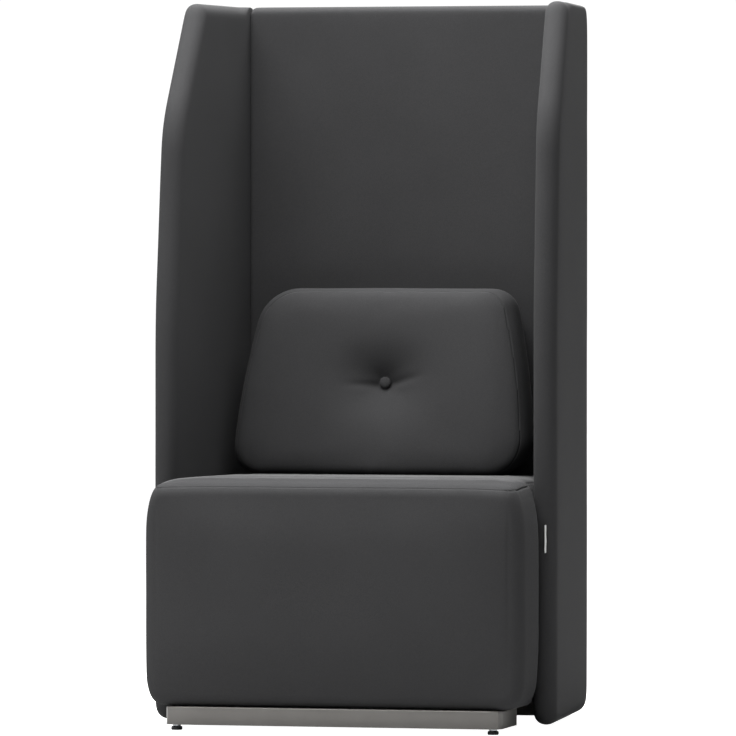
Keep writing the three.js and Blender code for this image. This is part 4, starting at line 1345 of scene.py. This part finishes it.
# Levelling feet: a moulded pad that turns on a threaded stud with a hexagon collar
foot = {
    "padRadius": 0.010,
    "padProfile": ((0.0015, 0.0), (0.0078, 0.0), (0.0088, 0.0001), (0.0096, 0.0006), (0.010, 0.0016),
                   (0.010, 0.0048), (0.0097, 0.0058), (0.0088, 0.0067), (0.0076, 0.007), (0.0062, 0.0068),
                   (0.0048, 0.0066)),
    "gripBand": (0.001, 0.0055),
    "gripDepth": 0.00022,
    "gripCount": 24,
    "studRadius": 0.004,
    "threadPitch": 0.00125,
    "threadDepth": 0.0006,
    "studTop": 0.036,
    "collarWidth": 0.013,
    "collarLow": 0.0073,
    "collarHigh": 0.0107,
    "collarEdge": (0.0008, 0.0005),
    "headRadius": 0.0056,
    "headLow": 0.0024,
    "headHigh": 0.0045,
    "rowsPerTurn": 6,
    "tipLength": 0.001,
    "tipTaper": 0.0006,
    "endInset": 0.018,
    "edgeInset": 0.022,
}


def footPiece(kind, label, points, faces, place, finish, sharp):
    name = f"foot{kind}{label.title().replace('_', '')}"
    return sharpened(newPiece(name, [p + place for p in points], faces, finish), sharp)


def makeFootPad(label, place):
    def grip(angle, radius, height):
        low, high = foot["gripBand"]
        held = radius == foot["padRadius"] and low < height < high
        return -foot["gripDepth"] * max(math.sin(foot["gripCount"] * angle), 0.0) if held else 0.0

    points, faces = turnedPoints(foot["padProfile"], 4 * foot["gripCount"], grip)
    piece = footPiece("Pad", label, points, faces, place, "black_plastic", 50)
    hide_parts(f"foot_pad_{label}")
    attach(piece, f"pad_{label}")


def makeFootStud(label, place):
    points, faces = [], []

    def part(newPoints, newFaces):
        faces.extend(tuple(i + len(points) for i in face) for face in newFaces)
        points.extend(newPoints)

    neck, head = foot["studRadius"] - foot["threadDepth"], foot["headRadius"]
    low, high = foot["collarLow"], foot["collarHigh"]
    part(*turnedPoints([(0.0005, foot["headLow"]), (head, foot["headLow"]), (head, foot["headHigh"]),
                        (neck, foot["headHigh"] + 0.0002), (neck, low + 0.0004)], 32))
    across = foot["collarWidth"] / 2 / math.cos(math.pi / 6)
    inward, along = foot["collarEdge"]
    part(*turnedPoints([(across - inward, low), (across, low + along), (across, high - along),
                        (across - inward, high)], 6))
    rows = round((foot["studTop"] - high) / foot["threadPitch"] * foot["rowsPerTurn"])
    profile = [(foot["studRadius"], mixed(high, foot["studTop"], k / rows)) for k in range(rows + 1)]

    def thread(angle, radius, height):
        phase = (height / foot["threadPitch"] - angle / (2 * math.pi)) % 1.0
        end = min((foot["studTop"] - height) / foot["tipLength"], 1.0)
        return -foot["threadDepth"] * abs(2 * phase - 1) - foot["tipTaper"] * (1 - end)

    part(*turnedPoints(profile, 24, thread))
    piece = footPiece("Stud", label, points, faces, place, "zinc_steel", 30)
    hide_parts(f"foot_stud_{label}")
    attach(piece, f"stud_{label}")


for row, length, middleY, way in (("front", beam["frontLength"], beam["frontY"], -1),
                                  ("rear", rearBeamLength, beam["rearY"], 1)):
    for sideName, side in (("left", -1), ("right", 1)):
        place = Vector((side * (length / 2 - foot["endInset"]),
                        middleY + way * (beam["depth"] / 2 - foot["edgeInset"]), 0))
        makeFootPad(f"{row}_{sideName}", place)
        makeFootStud(f"{row}_{sideName}", place)
print("feet turned and threaded")


# Blank folded tab in the seam between the seat and the right wing
tab = {
    "bottom": 0.322,
    "top": 0.372,
    "reach": 0.0118,
    "offset": 0.0259,
    "ply": 0.0006,
    "loop": 0.00055,
    "root": -0.0008,
    "wave": 0.0004,
    "waveScale": (90, 60),
    "steps": 8,
    "rows": 24,
}


def makeTab():
    middle, loop, reach, steps = tab["offset"], tab["loop"], tab["reach"], tab["steps"]
    path = [Vector((middle - loop, tab["root"] - (reach - loop + tab["root"]) * k / steps))
            for k in range(steps + 1)]
    tip = path[-1].y
    for k in range(1, steps):
        angle = math.pi * k / steps
        path.append(Vector((middle - loop * math.cos(angle), tip - loop * math.sin(angle))))
    path += [Vector((middle + loop, p.y)) for p in path[steps::-1]]

    def pointAt(layer, column, row):
        here = path[column]
        along = (path[min(column + 1, len(path) - 1)] - path[max(column - 1, 0)]).normalized()
        aside = here + Vector((-along.y, along.x)) * layer * tab["ply"] / 2
        z = mixed(tab["bottom"], tab["top"], row / tab["rows"])
        bend = tab["wave"] * noise.noise(Vector((here.y * tab["waveScale"][0], z * tab["waveScale"][1], 3.0)))
        return Vector((aside.x + bend, aside.y, z))

    piece = twoLayers("sideTab", len(path), tab["rows"] + 1, pointAt, "pale_tape")
    piece.data.transform(wingPlace(1))
    sharpened(piece, 50)
    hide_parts("side_tab")
    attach(piece, "chair_frame")


makeTab()


# Lining stapled under the seat, and its staples
lining = {
    "frontY": -0.2511,
    "rearY": 0.2366,
    "frontHalf": 0.3025,
    "rearHalf": 0.2586,
    "z": 0.04325,
    "thickness": 0.0003,
    "sag": 0.0012,
    "sagFrom": -0.150,
    "sagTo": 0.107,
    "ripple": 0.0003,
    "rippleScale": 25,
    "columns": 44,
    "rows": 40,
}
staple = {
    "count": 6,
    "edgeInset": 0.005,
    "endGap": 0.02,
    "half": 0.0055,
    "below": 0.0005,
    "wire": (0.0005, 0.0003),
    "sides": 8,
    "slant": 0.12,
    "bends": ((-1, 0.0008), (-0.96, 0.0001), (-0.85, -0.0001), (0.85, -0.0001), (0.96, 0.0001), (1, 0.0008)),
}


def liningHalf(y):
    share = (y - lining["frontY"]) / (lining["rearY"] - lining["frontY"])
    return mixed(lining["frontHalf"], lining["rearHalf"], share)


def makeLining():
    columns, rows, scale = lining["columns"], lining["rows"], lining["rippleScale"]

    def pointAt(layer, row, column):
        y = mixed(lining["frontY"], lining["rearY"], row / rows)
        share = (y - lining["sagFrom"]) / (lining["sagTo"] - lining["sagFrom"])
        drop = math.sin(math.pi * share) if 0 < share < 1 else 0.0
        u = 2 * column / columns - 1
        x = u * liningHalf(y)
        ripple = lining["ripple"] * noise.noise(Vector((x * scale, y * scale, 1.0)))
        down = (lining["sag"] + ripple) * drop * (1 - u ** 4)
        return Vector((x, y, lining["z"] - down + layer * lining["thickness"] / 2))

    piece = twoLayers("seatLining", rows + 1, columns + 1, pointAt, "black_lining")
    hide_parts("dust_cover")
    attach(piece, "chair_frame")


# Each staple lies at its own slight slant, its two ends bent up into the rail
def makeStaples():
    points, faces = [], []
    count, sides, (wide, thick) = staple["count"], staple["sides"], staple["wire"]
    first, last = lining["sagFrom"] + staple["endGap"], lining["sagTo"] - staple["endGap"]
    for side in (-1, 1):
        for k in range(count):
            y = mixed(first, last, k / (count - 1))
            x = side * (liningHalf(y) - staple["edgeInset"])
            way = Vector((staple["slant"] * math.sin(5.0 * k + side), 1, 0)).normalized()
            flat = Vector((way.y, -way.x, 0))
            start = len(points)
            for reach, rise in staple["bends"]:
                here = Vector((x, y, lining["z"] - staple["below"] + rise)) + way * reach * staple["half"]
                for j in range(sides):
                    angle = 2 * math.pi * j / sides
                    up = Vector((0, 0, thick * math.sin(angle)))
                    points.append(here + flat * wide * math.cos(angle) + up)
            faces += tubeFaces(len(staple["bends"]), sides, start)
            faces += [capFace(sides, start), capFace(sides, len(points) - sides)]
    piece = newPiece("liningStaples", points, faces, "zinc_steel")
    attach(piece, "chair_frame")


makeLining()
makeStaples()
print("tab folded, lining stapled")


# The frame's own nodes keep their shapes and get the finishes
for row in frame["record"]["subparts"]:
    for materialSlot in frame["nodes"][row["node"]].material_slots:
        materialSlot.material = finishes[row["material_slot"]]
print("frame nodes finished")


# Floor and light; a light has its place, what it points at, its size and its power
studio = {
    "floorSize": 40.0,
    "floorColour": (0.55, 0.55, 0.55, 1),
    "floorGlow": 1.04,
    "worldReflected": 0.35,
    "worldSeen": 1.3,
    "topLight": ((-0.3, 0.2, 3.4), (0, 0, 0), (3.2, 3.0), 446.0),
    "frontLight": ((-0.3, -2.0, 3.4), (0, 0, 0.3), (3.2, 2.2), 80.0),
    "leftLight": ((-3.7, -2.7, 1.9), (0, 0, 0.8), (2.0, 2.0), 64.0),
}


# Only the camera sees the floor's glow, so it lights nothing
def makeFloor():
    half = studio["floorSize"] / 2
    mesh = bpy.data.meshes.new("studioFloor")
    corners = [(-half, -half, 0), (half, -half, 0), (half, half, 0), (-half, half, 0)]
    mesh.from_pydata(corners, [], [(0, 1, 2, 3)])
    floor = bpy.data.objects.new("studioFloor", mesh)
    bpy.context.collection.objects.link(floor)
    material, tree, shader = newMaterial("paleFloor", Base_Color=studio["floorColour"], Roughness=0.9,
                                         Specular_IOR_Level=0.1, Emission_Strength=studio["floorGlow"])
    path = addNode(tree, "ShaderNodeLightPath")
    join(tree, mixColours(tree, path.outputs["Is Camera Ray"], (0, 0, 0, 1), (1, 1, 1, 1)),
         shader.inputs["Emission Color"])
    mesh.materials.append(material)


# The world is white to the camera, weak in reflections, and gives no light of its own
def makeWorld():
    world = bpy.data.worlds.new("studioWorld")
    world.use_nodes = True
    bpy.context.scene.world = world
    tree = world.node_tree
    plain = tree.nodes["Background"]
    plain.inputs["Color"].default_value = (1, 1, 1, 1)
    seen = addNode(tree, "ShaderNodeBackground")
    seen.inputs["Strength"].default_value = studio["worldSeen"]
    path = addNode(tree, "ShaderNodeLightPath")
    join(tree, mathNode(tree, "MULTIPLY", path.outputs["Is Glossy Ray"], studio["worldReflected"]),
         plain.inputs["Strength"])
    choose = addNode(tree, "ShaderNodeMixShader")
    join(tree, path.outputs["Is Camera Ray"], choose.inputs[0])
    join(tree, plain.outputs[0], choose.inputs[1])
    join(tree, seen.outputs[0], choose.inputs[2])
    join(tree, choose.outputs[0], tree.nodes["World Output"].inputs[0])


def areaLight(name, place, aim, size, power):
    light = bpy.data.lights.new(name, "AREA")
    light.shape = "RECTANGLE"
    light.size, light.size_y = size
    light.energy = power
    lamp = bpy.data.objects.new(name, light)
    lamp.location = place
    lamp.rotation_euler = (Vector(aim) - Vector(place)).to_track_quat("-Z", "Y").to_euler()
    bpy.context.collection.objects.link(lamp)


makeFloor()
makeWorld()
for lightName in ("topLight", "frontLight", "leftLight"):
    areaLight(lightName, *studio[lightName])
bpy.context.scene.view_settings.view_transform = "Standard"
print("studio lit")
